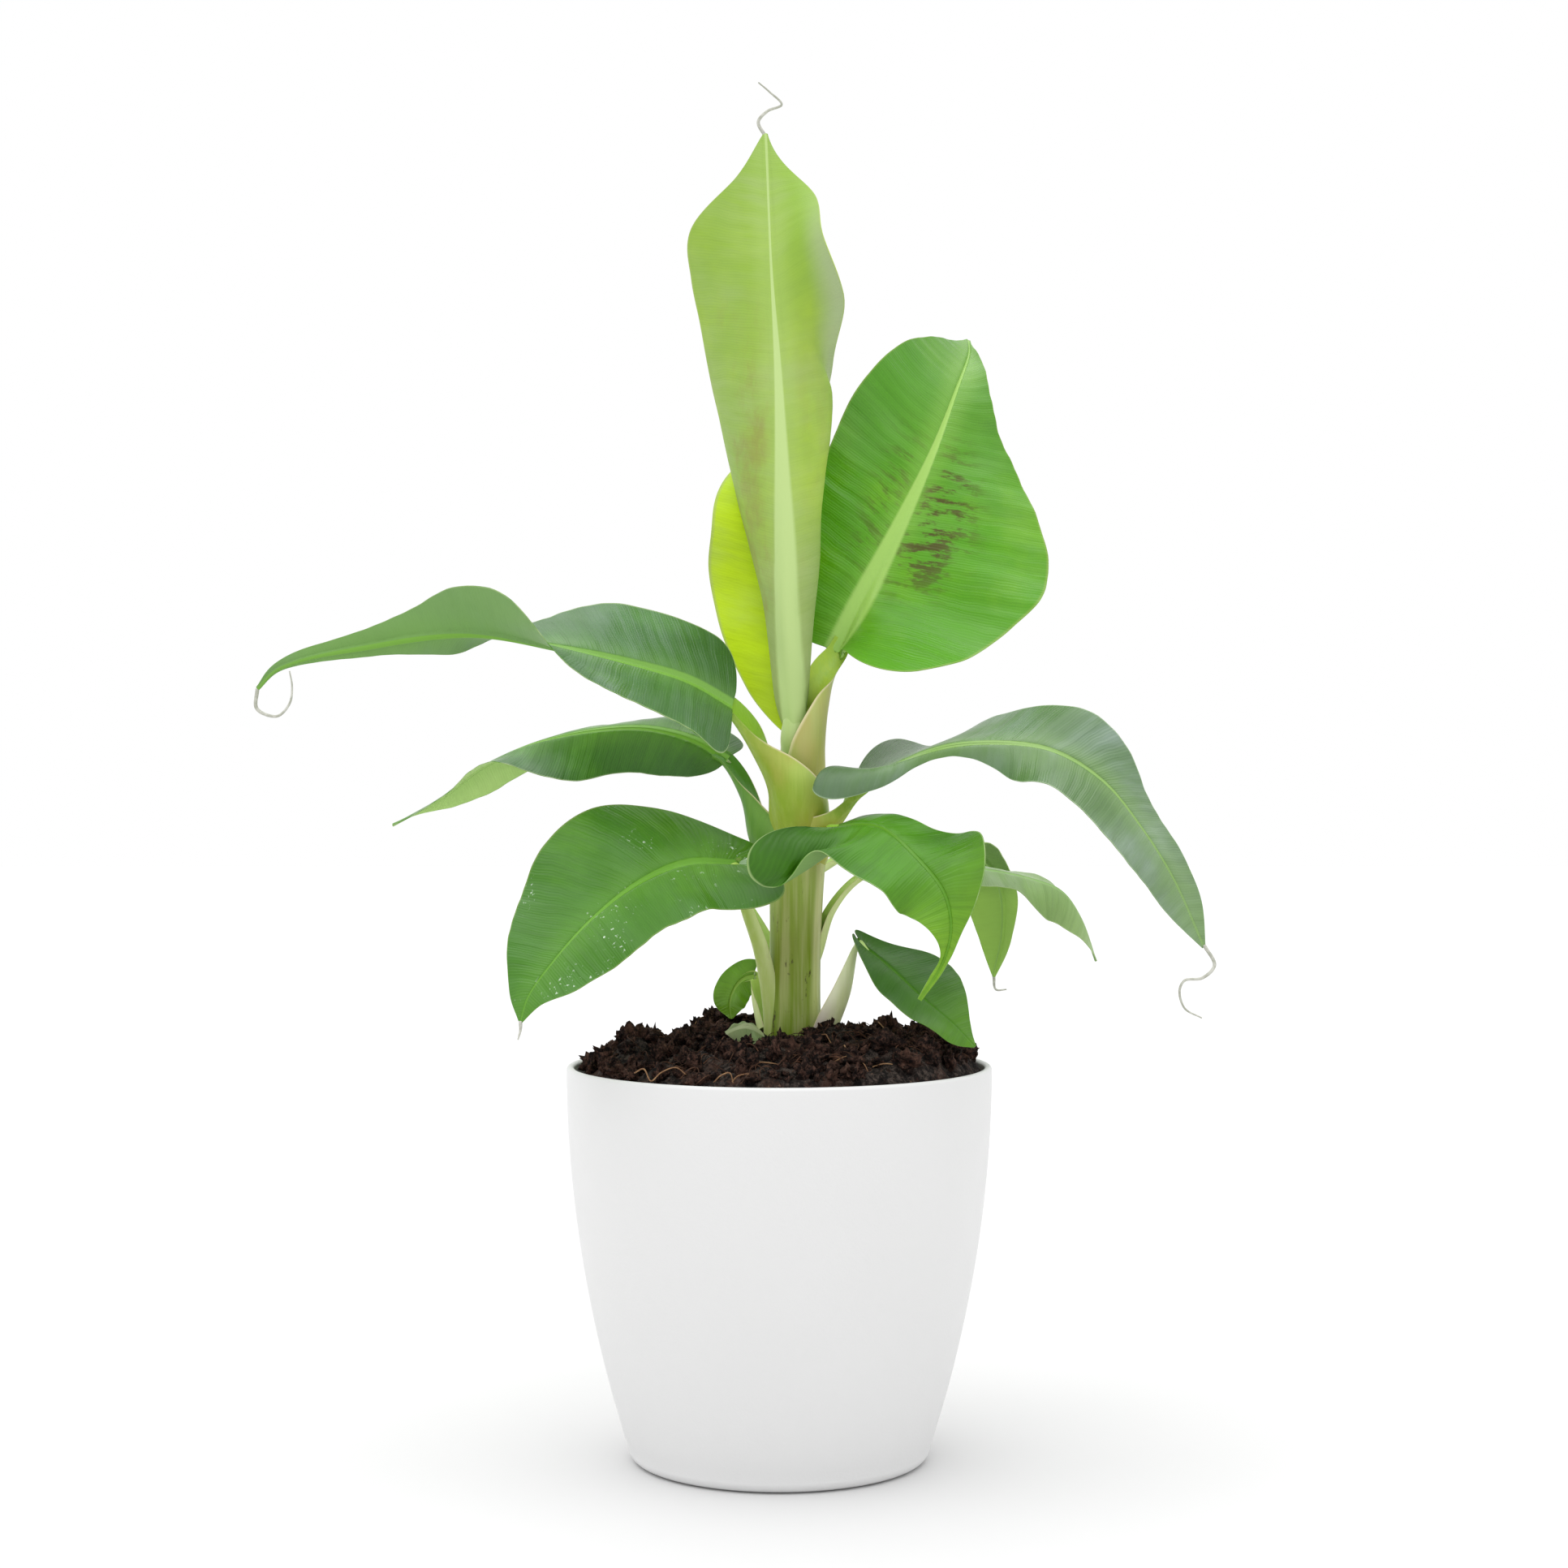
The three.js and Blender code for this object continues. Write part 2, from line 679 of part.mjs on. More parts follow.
function soilSolid() {
  const inside = (z) => potRadius(z) - POT.wall - 2 * GAP;
  const bottom = POT.floor + GAP;
  const surfaceZ = POT.height - SOIL.edgeDrop;
  const profile = [
    new THREE.Vector2(0, bottom),
    new THREE.Vector2(inside(bottom), bottom),
    ...heights(bottom, surfaceZ, 3).map((z) => new THREE.Vector2(inside(z), z)),
    ...Array.from({ length: SOIL.rings }, (_, i) => {
      return new THREE.Vector2(inside(surfaceZ) * (1 - i / SOIL.rings), surfaceZ);
    }),
    new THREE.Vector2(0, surfaceZ),
  ];
  const geometry = new THREE.LatheGeometry(profile, ROUND);
  geometry.rotateX(Math.PI / 2);
  const top = soilTop();
  const places = geometry.attributes.position;
  for (let i = 0; i < places.count; i++) {
    const [x, y, z] = [places.getX(i), places.getY(i), places.getZ(i)];
    if (z > surfaceZ - 0.01) places.setZ(i, top(x, y));
  }
  return solid(geometry);
}

// ---------------------------------------------------------------- assembly
const STEM_PATH = [STEM.foot, STEM.middle, STEM.top];
const stemSolid = (grow = 0) => limb(STEM_PATH, STEM.radii, STEM_SIDES, 12, grow);
const stalkSolid = (stalk, grow = 0) => limb(stalk.path, stalk.radii, STALK_SIDES, 6, grow, 0.8);
const tailSolid = (tail) => limb(tail, [TAIL_RADIUS, TAIL_RADIUS], 5, 10);

const plant = new THREE.Group();
plant.name = "banana_plant";

function add(name, manifold, colour, roughness) {
  const material = new THREE.MeshStandardMaterial({ color: colour, roughness, metalness: 0 });
  const mesh = new THREE.Mesh(geometryOf(manifold), material);
  mesh.name = name;
  plant.add(mesh);
}

const wideStem = stemSolid(GAP);
add("pot", potSolid(), COLOURS.pot, 0.5);

let soil = soilSolid().subtract(wideStem);
add("stem", stemSolid(), COLOURS.stem, 0.55);

// A blade that bends far is made in two, at the share of its length named by split.
function bladePieces(name, leaf) {
  const { split } = leaf.blade;
  const tail = (blade) => (leaf.tail ? blade.add(tailSolid(leaf.tail)) : blade);
  if (!split) return { [`${name}_blade`]: tail(bladeSolid(leaf.blade)) };
  const half = SPLIT_GAP / 2 / new Spine(leaf.blade.midrib, leaf.blade.face).length;
  return {
    [`${name}_blade_inner`]: bladeSolid(leaf.blade, 0, split - half),
    [`${name}_blade_outer`]: tail(bladeSolid(leaf.blade, split + half, 1)),
  };
}

for (const [name, leaf] of Object.entries(LEAVES)) {
  const colour = leaf.young ? COLOURS.youngLeaf : COLOURS.leaf;
  let clear = wideStem;
  if (leaf.stalk) {
    const wideStalk = stalkSolid(leaf.stalk, GAP);
    clear = clear.add(wideStalk);
    soil = soil.subtract(wideStalk);
    add(`${name}_stalk`, stalkSolid(leaf.stalk).subtract(wideStem), COLOURS.stalk, 0.5);
  }
  for (const [piece, blade] of Object.entries(bladePieces(name, leaf))) {
    add(piece, blade.subtract(clear), colour, 0.45);
  }
}
add("soil", soil, COLOURS.soil, 0.95);

export default plant;
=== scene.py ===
"""A young dwarf banana plant in a round plant pot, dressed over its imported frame.

Everything is in metres, +Z is up, the plant's front faces -Y and the origin is the centre of the
pot's flat underside. The leaf shapes are given in millimetres, in the same frame.
"""

import logging
import math
from dataclasses import dataclass, field
from enum import Enum
from functools import partial, reduce
from typing import Callable, Iterator, Optional, Sequence, Union

import bmesh
import bpy
import numpy as np
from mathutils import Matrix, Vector, noise


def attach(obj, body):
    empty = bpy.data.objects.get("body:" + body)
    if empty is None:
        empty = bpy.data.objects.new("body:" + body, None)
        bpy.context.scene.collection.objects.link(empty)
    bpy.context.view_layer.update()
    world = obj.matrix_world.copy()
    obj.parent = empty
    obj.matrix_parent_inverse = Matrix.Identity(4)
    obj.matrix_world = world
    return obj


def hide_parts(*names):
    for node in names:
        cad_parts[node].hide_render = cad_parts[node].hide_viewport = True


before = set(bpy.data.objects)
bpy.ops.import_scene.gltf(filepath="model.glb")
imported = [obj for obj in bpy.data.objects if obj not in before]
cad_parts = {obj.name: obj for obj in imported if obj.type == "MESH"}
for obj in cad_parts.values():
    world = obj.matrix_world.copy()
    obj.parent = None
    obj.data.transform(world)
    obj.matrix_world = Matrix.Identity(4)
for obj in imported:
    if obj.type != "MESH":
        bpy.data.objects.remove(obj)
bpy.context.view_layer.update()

log = logging.getLogger("banana_plant")

MM = 0.001
BODY = "root"
Colour = tuple[float, float, float]
Triple = tuple[float, float, float]
Value = Union[bpy.types.NodeSocket, float, Colour]


# --- leaf sizes
@dataclass(frozen=True)
class HalfForm:
    """One half of a blade; every tuple stands at even stations from the foot to the tip.

    Attributes:
        widths: Width of the half in mm.
        rise: Angle of the half above level at the midrib, in degrees.
        curl: Further turn of the half out to its margin, in degrees.
        lobe: How far the rounded shoulder reaches back past the foot, in mm.
        turn_end: Share of the half that curls.
    """

    widths: tuple[float, ...]
    rise: tuple[float, ...]
    curl: tuple[float, ...]
    lobe: float
    turn_end: float = 1.0


@dataclass(frozen=True)
class LeafForm:
    """The shape of one leaf, in mm, as the frame has it.

    Attributes:
        name: Its name.
        midrib: The places that the midrib passes through.
        face: The way that its upper side looks at the foot.
        left: Its left half, seen from above with the tip away.
        right: Its right half.
        rib: Breadth of the midrib at the foot and the tip.
        ripple: Height of the waves at its margins.
        roll: How far the blade is turned about the midrib at even stations, in degrees.
        stalk: The places that its stalk passes through below the blade, if it has one.
        tail: The places that the dry thread at its tip passes through, if it has one.
        nodes: The CAD nodes that the blade stands for, if they aren't named after it.
    """

    name: str
    midrib: tuple[Triple, ...]
    face: Triple
    left: HalfForm
    right: HalfForm
    rib: tuple[float, float]
    ripple: float
    roll: tuple[float, ...] = (0, 0)
    stalk: tuple[Triple, ...] = ()
    tail: tuple[Triple, ...] = ()
    nodes: tuple[str, ...] = ()

    @property
    def blade_nodes(self) -> tuple[str, ...]:
        """The CAD nodes that the blade stands for."""
        return self.nodes or (f"{self.name}_blade",)


LEAF_FORMS: tuple[LeafForm, ...] = (
    LeafForm(
        name="spear",
        midrib=(
            (7, -4, 304), (3, -12, 348), (2, -14, 396), (0, -11, 451), (-3, -4, 503), (-6, 8, 563),
        ),
        face=(0, 1, 0.05),
        left=HalfForm(
            widths=(
                24.8, 42.5, 59.5, 71.5, 78.6, 77.5, 81, 83.3, 70.5, 34.8, 28.8, 26.8, 21.7, 13.9, 0,
            ),
            rise=(6, 6, -13, -8, -23, 28), curl=(169, 165, 185, 99, -19, 56), lobe=0,
            turn_end=0.55,
        ),
        right=HalfForm(
            widths=(
                24.9, 30.1, 35.7, 41.7, 48.4, 50.1, 51.1, 51, 48.6, 45, 42, 40.3, 35.4, 12.6, 0,
            ),
            rise=(35, 38, 18, 14, 15, -8), curl=(94, 110, 107, 75, 29, 0), lobe=0,
        ),
        rib=(9, 2), ripple=1,
        tail=((-6, 8, 562), (-9, 8, 568), (-5, 9, 573), (1, 10, 576), (-4, 9, 581), (-9, 8, 585)),
    ),
    LeafForm(
        name="right_upper",
        midrib=(
            (25, 16, 342), (34, 20, 361), (52, 30, 397), (68, 42, 432), (79, 58, 461),
            (86, 80, 480), (87.2, 99, 490),
        ),
        face=(0.2, -0.95, 0.2),
        left=HalfForm(
            widths=(19, 23, 28, 34, 39.5, 41.5, 42, 41.6, 38, 31.5, 21.5, 8.4, 0),
            rise=(-17, -16, -15, -9, 1, 1, 0), curl=(-1, -1, 0, 20, -3), lobe=11,
        ),
        right=HalfForm(
            widths=(50.7, 52.7, 55.4, 62.5, 68.7, 65.8, 54.6, 39.9, 22.4, 12.9, 7.3, 2.2, 0),
            rise=(83, 17, 8, -2, -2, 34, 85), curl=(20, 3, 0, 17, 54), lobe=28,
        ),
        rib=(7, 2), ripple=1.5,
        stalk=((10.0, -1.5, 303), (12.9, -1.0, 319), (18.4, 8, 333)),
    ),
    LeafForm(
        name="left_upper",
        midrib=(
            (-19, -20, 318), (-37, -28, 328), (-57, -36, 334), (-89, -46, 341), (-124, -54, 346),
            (-166, -62, 340), (-200, -68, 331), (-208, -69, 323),
        ),
        face=(-0.1, -0.7, 0.7),
        roll=(0, 10, 45, 90, 110, 100),
        left=HalfForm(
            widths=(34.8, 32.3, 28.7, 27.8, 28.7, 29.9, 29.8, 21.7, 11.6, 7.3, 4.3, 2.6, 0),
            rise=(3, 2, -10, 3, 23, 14, 5), curl=(-7, 0, 1, 10, 8), lobe=12,
        ),
        right=HalfForm(
            widths=(26.1, 31.3, 33.7, 34, 32.8, 28, 21.3, 14.5, 8.8, 4.7, 2.3, 0.9, 0),
            rise=(9, 6, 21, 16, 6, 1, -2), curl=(-3, -4, 5, 3, 0), lobe=3,
        ),
        rib=(7, 1.6), ripple=1,
        stalk=((7, -8, 282), (-5, -14, 302)),
        tail=(
            (-208, -69, 323), (-208, -70, 315), (-200, -70, 312), (-195, -70, 317),
            (-194, -70, 324), (-195, -70, 330),
        ),
        nodes=("left_upper_blade_inner", "left_upper_blade_outer"),
    ),
    LeafForm(
        name="right_mid",
        midrib=(
            (30, -20, 282), (47, -30, 293), (68, -38, 301), (96, -46, 302), (113, -52, 298),
            (131, -58, 286), (145, -64, 268), (157, -68, 248), (169, -72, 220),
        ),
        face=(-0.3, -0.5, 0.9),
        left=HalfForm(
            widths=(42.7, 39.2, 36.2, 33.8, 31.9, 28.4, 24.3, 20.4, 15.6, 13, 10.4, 7.1, 0),
            rise=(-4, -22, -9, 14, -6, 1, 13), curl=(11, -10, 8, -2, 4), lobe=0,
        ),
        right=HalfForm(
            widths=(47, 17.6, 8.2, 5.1, 7.3, 16.7, 21.4, 23.6, 24.1, 22.3, 15.5, 9.2, 0),
            rise=(191, 9, -46, -5, 9, 2, -10), curl=(-214, -33, -1, -3, -3), lobe=25,
        ),
        rib=(7, 1.6), ripple=1,
        stalk=((14, -4, 266), (22, -12, 274)),
        tail=(
            (169, -72, 221), (173, -73, 213), (168, -74, 208), (161, -74, 207), (159, -74, 203),
            (161, -74, 196), (168, -73, 192),
        ),
        nodes=("right_mid_blade_inner", "right_mid_blade_outer"),
    ),
    LeafForm(
        name="left_mid",
        midrib=(
            (-22, 8, 296), (-35, 12, 304), (-52, 17, 309), (-68, 22, 310), (-92, 28, 307),
            (-114, 33, 301), (-132, 38, 292), (-148, 42, 280), (-171, 46, 267),
        ),
        face=(-0.4, -0.3, 0.9),
        left=HalfForm(
            widths=(12.9, 16.4, 19, 19.8, 20.2, 21.8, 20.9, 18.6, 14.2, 9.8, 5.9, 2.8, 0),
            rise=(-47, -56, -56, -35, 11, 7, -9), curl=(-8, -1, 15, 33, 15), lobe=0,
        ),
        right=HalfForm(
            widths=(18.2, 18.5, 18.6, 18.7, 18.5, 18.2, 17.9, 17.8, 18.4, 17.1, 9.7, 3.7, 0),
            rise=(-4, -12, -19, -30, -56, -64, -50), curl=(-11, -11, -12, -21, -3), lobe=8,
        ),
        rib=(6.5, 1.6), ripple=1,
        stalk=((-2, 2, 263), (-12, 6, 282)),
    ),
    LeafForm(
        name="front",
        midrib=(
            (19, -32, 267), (30, -38, 269), (42, -48, 267.5), (55, -62, 256), (66, -73, 241),
            (68, -78, 226), (64, -79, 213), (55.5, -79, 199.7),
        ),
        face=(-0.4, -0.3, 0.9),
        left=HalfForm(
            widths=(14.1, 13.4, 12.7, 13.4, 17.9, 23.3, 25.6, 20.8, 12.6, 4.2, 1.4, 0.5, 0),
            rise=(-26, -9, -18, 17, 45, 32, 14), curl=(-1, 4, 14, 17, 11), lobe=0,
        ),
        right=HalfForm(
            widths=(47.9, 48.3, 38.3, 31.7, 27.7, 24.2, 20.7, 18.6, 15, 7.9, 0.9, 0.8, 0),
            rise=(28, -15, -2, -9, -8, -24, -23, -15, -4), curl=(12, 14, -6, -9, -4), lobe=33,
        ),
        rib=(6, 1.4), ripple=1.5,
        stalk=((12, -4, 253), (16, -14, 257.5), (18.2, -25, 260.5)),
    ),
    LeafForm(
        name="left_low",
        midrib=(
            (-16, -27, 252), (-37, -40, 253), (-57, -54, 245), (-76, -66, 230), (-90, -74, 214),
            (-99, -78, 201), (-102, -80, 191),
        ),
        face=(-0.3, -0.6, 0.8),
        left=HalfForm(
            widths=(32.3, 32.2, 27.8, 27, 27.5, 27.7, 27.3, 26.6, 23.4, 19.4, 15.3, 8, 0),
            rise=(18, -15, -6, 0, -5, -8, 6), curl=(3, -11, -10, -6, 2), lobe=17,
        ),
        right=HalfForm(
            widths=(6.4, 16.2, 25, 32.8, 39.2, 41.3, 41, 38.3, 33.1, 26.8, 20.1, 10.1, 0),
            rise=(26, 22, 30, 15, 5, 5, -9), curl=(-19, -12, -6, -2, 0), lobe=32,
        ),
        rib=(5.5, 1.4), ripple=0.8,
        stalk=((-2.2, -3, 170), (-3.2, -3.4, 191), (-7.4, -8, 215), (-14, -16, 236)),
        tail=((-102, -80, 191.5), (-102, -80, 188), (-103, -80, 184)),
    ),
    LeafForm(
        name="back_right",
        midrib=(
            (31, 43.5, 256), (55, 66, 263), (78, 84, 260), (95, 98, 250), (103, 107, 236),
            (104, 112, 215), (100, 114, 195),
        ),
        face=(0, -0.1, 1),
        left=HalfForm(
            widths=(21.1, 22.6, 23.8, 24.6, 24.5, 23.6, 22, 21, 20, 19, 16, 9, 0),
            rise=(11, 10, 9, 4, -3, -15, -16), curl=(-32, -27, -19, -12, -7), lobe=8,
        ),
        right=HalfForm(
            widths=(16, 19, 21.5, 22.4, 21.6, 19.9, 17.5, 14.3, 10.5, 7.5, 6, 4, 0),
            rise=(10, 10, 9, 8, 6, 1, 1), curl=(-32, -26, -16, -4, 3), lobe=8,
        ),
        rib=(5.5, 1.4), ripple=1.2,
        stalk=((8, 4, 238), (10, 12, 246), (18, 25, 249)),
        tail=((100, 114, 196), (101, 114, 189), (106, 114, 189)),
    ),
    LeafForm(
        name="right_low",
        midrib=(
            (45, 14.5, 250), (67, 20, 251), (90, 27, 248), (109, 33, 244), (124, 38, 238),
            (133, 42, 226), (140, 45, 207),
        ),
        face=(0, -0.3, 0.95),
        left=HalfForm(
            widths=(15.8, 16.5, 17.2, 17.4, 17, 15.7, 13.5, 10.7, 8.5, 7.3, 6.4, 2.8, 0),
            rise=(-2, -5, -5, -7, -2, -6, -3), curl=(-20, -18, -17, -1, -2), lobe=6,
        ),
        right=HalfForm(
            widths=(14.7, 14, 13.2, 12.1, 10.8, 9.4, 9.7, 14.1, 16.6, 16.3, 12.5, 6.6, 0),
            rise=(1, -7, -17, -26, -44, -33, -13), curl=(-21, -17, -11, -10, 0), lobe=5,
        ),
        rib=(5, 1.4), ripple=0.8,
        stalk=((8, 0, 202), (14, 0, 212), (21, 3, 231), (32, 9, 244)),
    ),
    LeafForm(
        name="back_left",
        midrib=(
            (-22, 44, 242), (-37, 66, 251), (-54, 88, 253), (-70, 108, 246), (-82, 124, 232),
            (-89, 132, 214),
        ),
        face=(0, -0.1, 1),
        left=HalfForm(
            widths=(20, 25, 28, 26, 18, 9, 0), rise=(10, 10, 5, 0, 0), curl=(-30, -30, -20, 0, 0),
            lobe=6,
        ),
        right=HalfForm(
            widths=(20, 25, 28, 26, 18, 9, 0), rise=(10, 10, 5, 0, 0), curl=(-30, -30, -20, 0, 0),
            lobe=6,
        ),
        rib=(5.5, 1.4), ripple=1.2,
        stalk=((3, 2, 200), (-2, 8, 211), (-11, 24, 227)),
    ),
    LeafForm(
        name="small_right",
        midrib=((33, -16, 219), (47, -24, 208), (60, -30, 196), (72, -34, 186), (80.5, -36, 177)),
        face=(0.3, -0.6, 0.7),
        left=HalfForm(
            widths=(3.4, 7.9, 12.8, 17.1, 20.6, 22.7, 22.7, 21.3, 19, 14.9, 8.9, 3.9, 0),
            rise=(-7, -4, 3, 7, 7, 1, -5), curl=(-15, -9, -1, 1, -2), lobe=15,
        ),
        right=HalfForm(
            widths=(10.4, 10.8, 11.4, 12, 12.6, 13, 13, 12.6, 11.9, 10.9, 9.3, 6, 0),
            rise=(55, 19, 1, -1, 1, -3, -11), curl=(18, 0, -2, -1, -5), lobe=5,
        ),
        rib=(3.4, 1.2), ripple=0.4,
        stalk=((16.5, -8, 167), (18.5, -8.5, 181), (25, -12, 198)),
    ),
    LeafForm(
        name="small_left",
        midrib=((-11, 19, 202), (-15, 21.5, 201), (-19, 24, 197), (-21.5, 26, 190), (-21, 27, 183)),
        face=(-0.1, -0.95, 0.2),
        left=HalfForm(
            widths=(4.5, 6.5, 7.5, 8, 8, 6, 0), rise=(-10, -6, 0, 4, 0), curl=(0, 0, 0, 0, 0),
            lobe=2,
        ),
        right=HalfForm(
            widths=(6, 7.5, 8.5, 9, 9, 6.5, 0), rise=(-20, -10, 0, 4, 0), curl=(0, 0, 0, 0, 0),
            lobe=4,
        ),
        rib=(2.6, 1), ripple=0.2,
        stalk=((-5, 8, 180), (-8, 14, 192)),
    ),
)

# The torn piece of leaf that lies on the soil.
REMNANT = LeafForm(
    name="remnant",
    midrib=((-7, -17, 181), (-12, -22, 184), (-17, -27, 184), (-22, -30, 182)),
    face=(-0.1, -0.5, 0.85),
    left=HalfForm(widths=(3, 6, 8, 9, 0), rise=(-16, -26, -34), curl=(-10, -20, -30), lobe=0),
    right=HalfForm(widths=(2, 2.5, 2, 1.5, 0), rise=(0, 5, 5), curl=(10, 15, 10), lobe=0),
    rib=(1.6, 0.8), ripple=0.6,
)


class Tone(Enum):
    """The ages of leaf on the plant, each with its own colours."""

    YOUNG = "young"
    FRESH = "fresh"
    BRIGHT = "bright"
    MATURE = "mature"
    WAXY = "waxy"
    DARK = "dark"
    DEEP = "deep"
    SHADED = "shaded"
    PALE = "pale"
    FROSTED = "frosted"
    LIME = "lime"


class Skin(Enum):
    """The skins of the sheaths and stalks."""

    GREEN = "green"
    DARK = "dark"
    PALE = "pale"
    ASHEN = "ashen"
    FLUSHED = "flushed"


@dataclass(frozen=True)
class LeafLook:
    """What a leaf has besides its shape.

    Attributes:
        tone: Which leaf finish it takes.
        skin: Which stalk finish it takes.
        rows: Faces along the blade.
        sheath: Heights at which its sheath still hugs the stem, in mm; none for a plain stalk.
        girth: Radii of the sheath and stalk at even stations from the sheath's foot, in mm.
        spread: Half angles that the sheath and stalk wrap round, in degrees.
        turn: How far the sheath is turned round the stem, in degrees.
        hind: Share of the half angles that the sheath keeps behind.
        pleats: Strength of the waves along its veins.
        broad: How much broader its midrib is than the frame's.
    """

    tone: Tone
    skin: Skin = Skin.GREEN
    rows: int = 120
    sheath: tuple[float, ...] = ()
    girth: tuple[float, ...] = ()
    spread: tuple[float, ...] = (118, 112, 104, 98, 94)
    turn: float = 0.0
    hind: float = 1.0
    pleats: float = 1.0
    broad: float = 1.0


LEAF_LOOKS: dict[str, LeafLook] = {
    "spear": LeafLook(Tone.YOUNG, rows=190, pleats=0.6, broad=1.35),
    "right_upper": LeafLook(
        Tone.FRESH, Skin.FLUSHED, 170, sheath=(262, 285), girth=(10.6, 10.8, 9.8, 8.3, 5.8, 4.0),
        spread=(168, 170, 171, 142, 106, 92), hind=0.65, pleats=2.4,
    ),
    "left_upper": LeafLook(
        Tone.MATURE, rows=190, sheath=(240, 262), girth=(10.2, 12.4, 12.6, 9.4, 6.6, 4.2),
        spread=(150, 140, 122, 102, 92, 90), turn=26,
    ),
    "right_mid": LeafLook(
        Tone.WAXY, rows=170, sheath=(238, 252), girth=(9.2, 11.6, 11.4, 8.2, 5.8, 4.2),
        spread=(120, 112, 96, 88, 88, 90), turn=-20,
    ),
    "left_mid": LeafLook(
        Tone.DARK, Skin.DARK, 150, sheath=(240, 254), girth=(9.2, 11.8, 10.6, 6.6, 4.4, 3.5),
        spread=(140, 128, 110, 98, 92, 90), turn=30,
    ),
    "front": LeafLook(Tone.BRIGHT, rows=150, girth=(4.0, 4.0, 3.2, 2.2, 1.0)),
    "left_low": LeafLook(Tone.DEEP, Skin.PALE, 130, girth=(4.3, 3.9, 3.5, 3.0, 2.7)),
    "back_right": LeafLook(Tone.PALE, Skin.PALE, 120, girth=(4.6, 3.4, 2.8, 2.6, 2.7)),
    "right_low": LeafLook(Tone.FROSTED, Skin.PALE, 110, girth=(4.6, 3.6, 2.8, 2.4, 2.5)),
    "back_left": LeafLook(Tone.DEEP, Skin.PALE, 110, girth=(4.6, 3.6, 3.0, 2.8, 2.8)),
    "small_right": LeafLook(Tone.SHADED, Skin.ASHEN, 90, girth=(6.0, 5.8, 5.2, 3.2, 0.3)),
    "small_left": LeafLook(Tone.LIME, Skin.PALE, 70, girth=(4.4, 4.2, 3.6, 2.6, 1.6)),
}


# --- curves
def station(values: Sequence[float], t: np.ndarray) -> np.ndarray:
    """Reads a list of values that stand at even stations, on a smooth curve through them.

    Args:
        values: The values, from foot to tip.
        t: Places from 0 to 1.

    Returns:
        The value at each place.
    """
    v = np.asarray(values, float)
    last = len(v) - 1
    place = np.clip(np.asarray(t, float), 0, 1) * last
    low = np.minimum(place.astype(int), last - 1)
    f = place - low
    slope = np.gradient(v)
    return (
        v[low] * (2 * f**3 - 3 * f**2 + 1)
        + slope[low] * (f**3 - 2 * f**2 + f)
        + v[low + 1] * (3 * f**2 - 2 * f**3)
        + slope[low + 1] * (f**3 - f**2)
    )


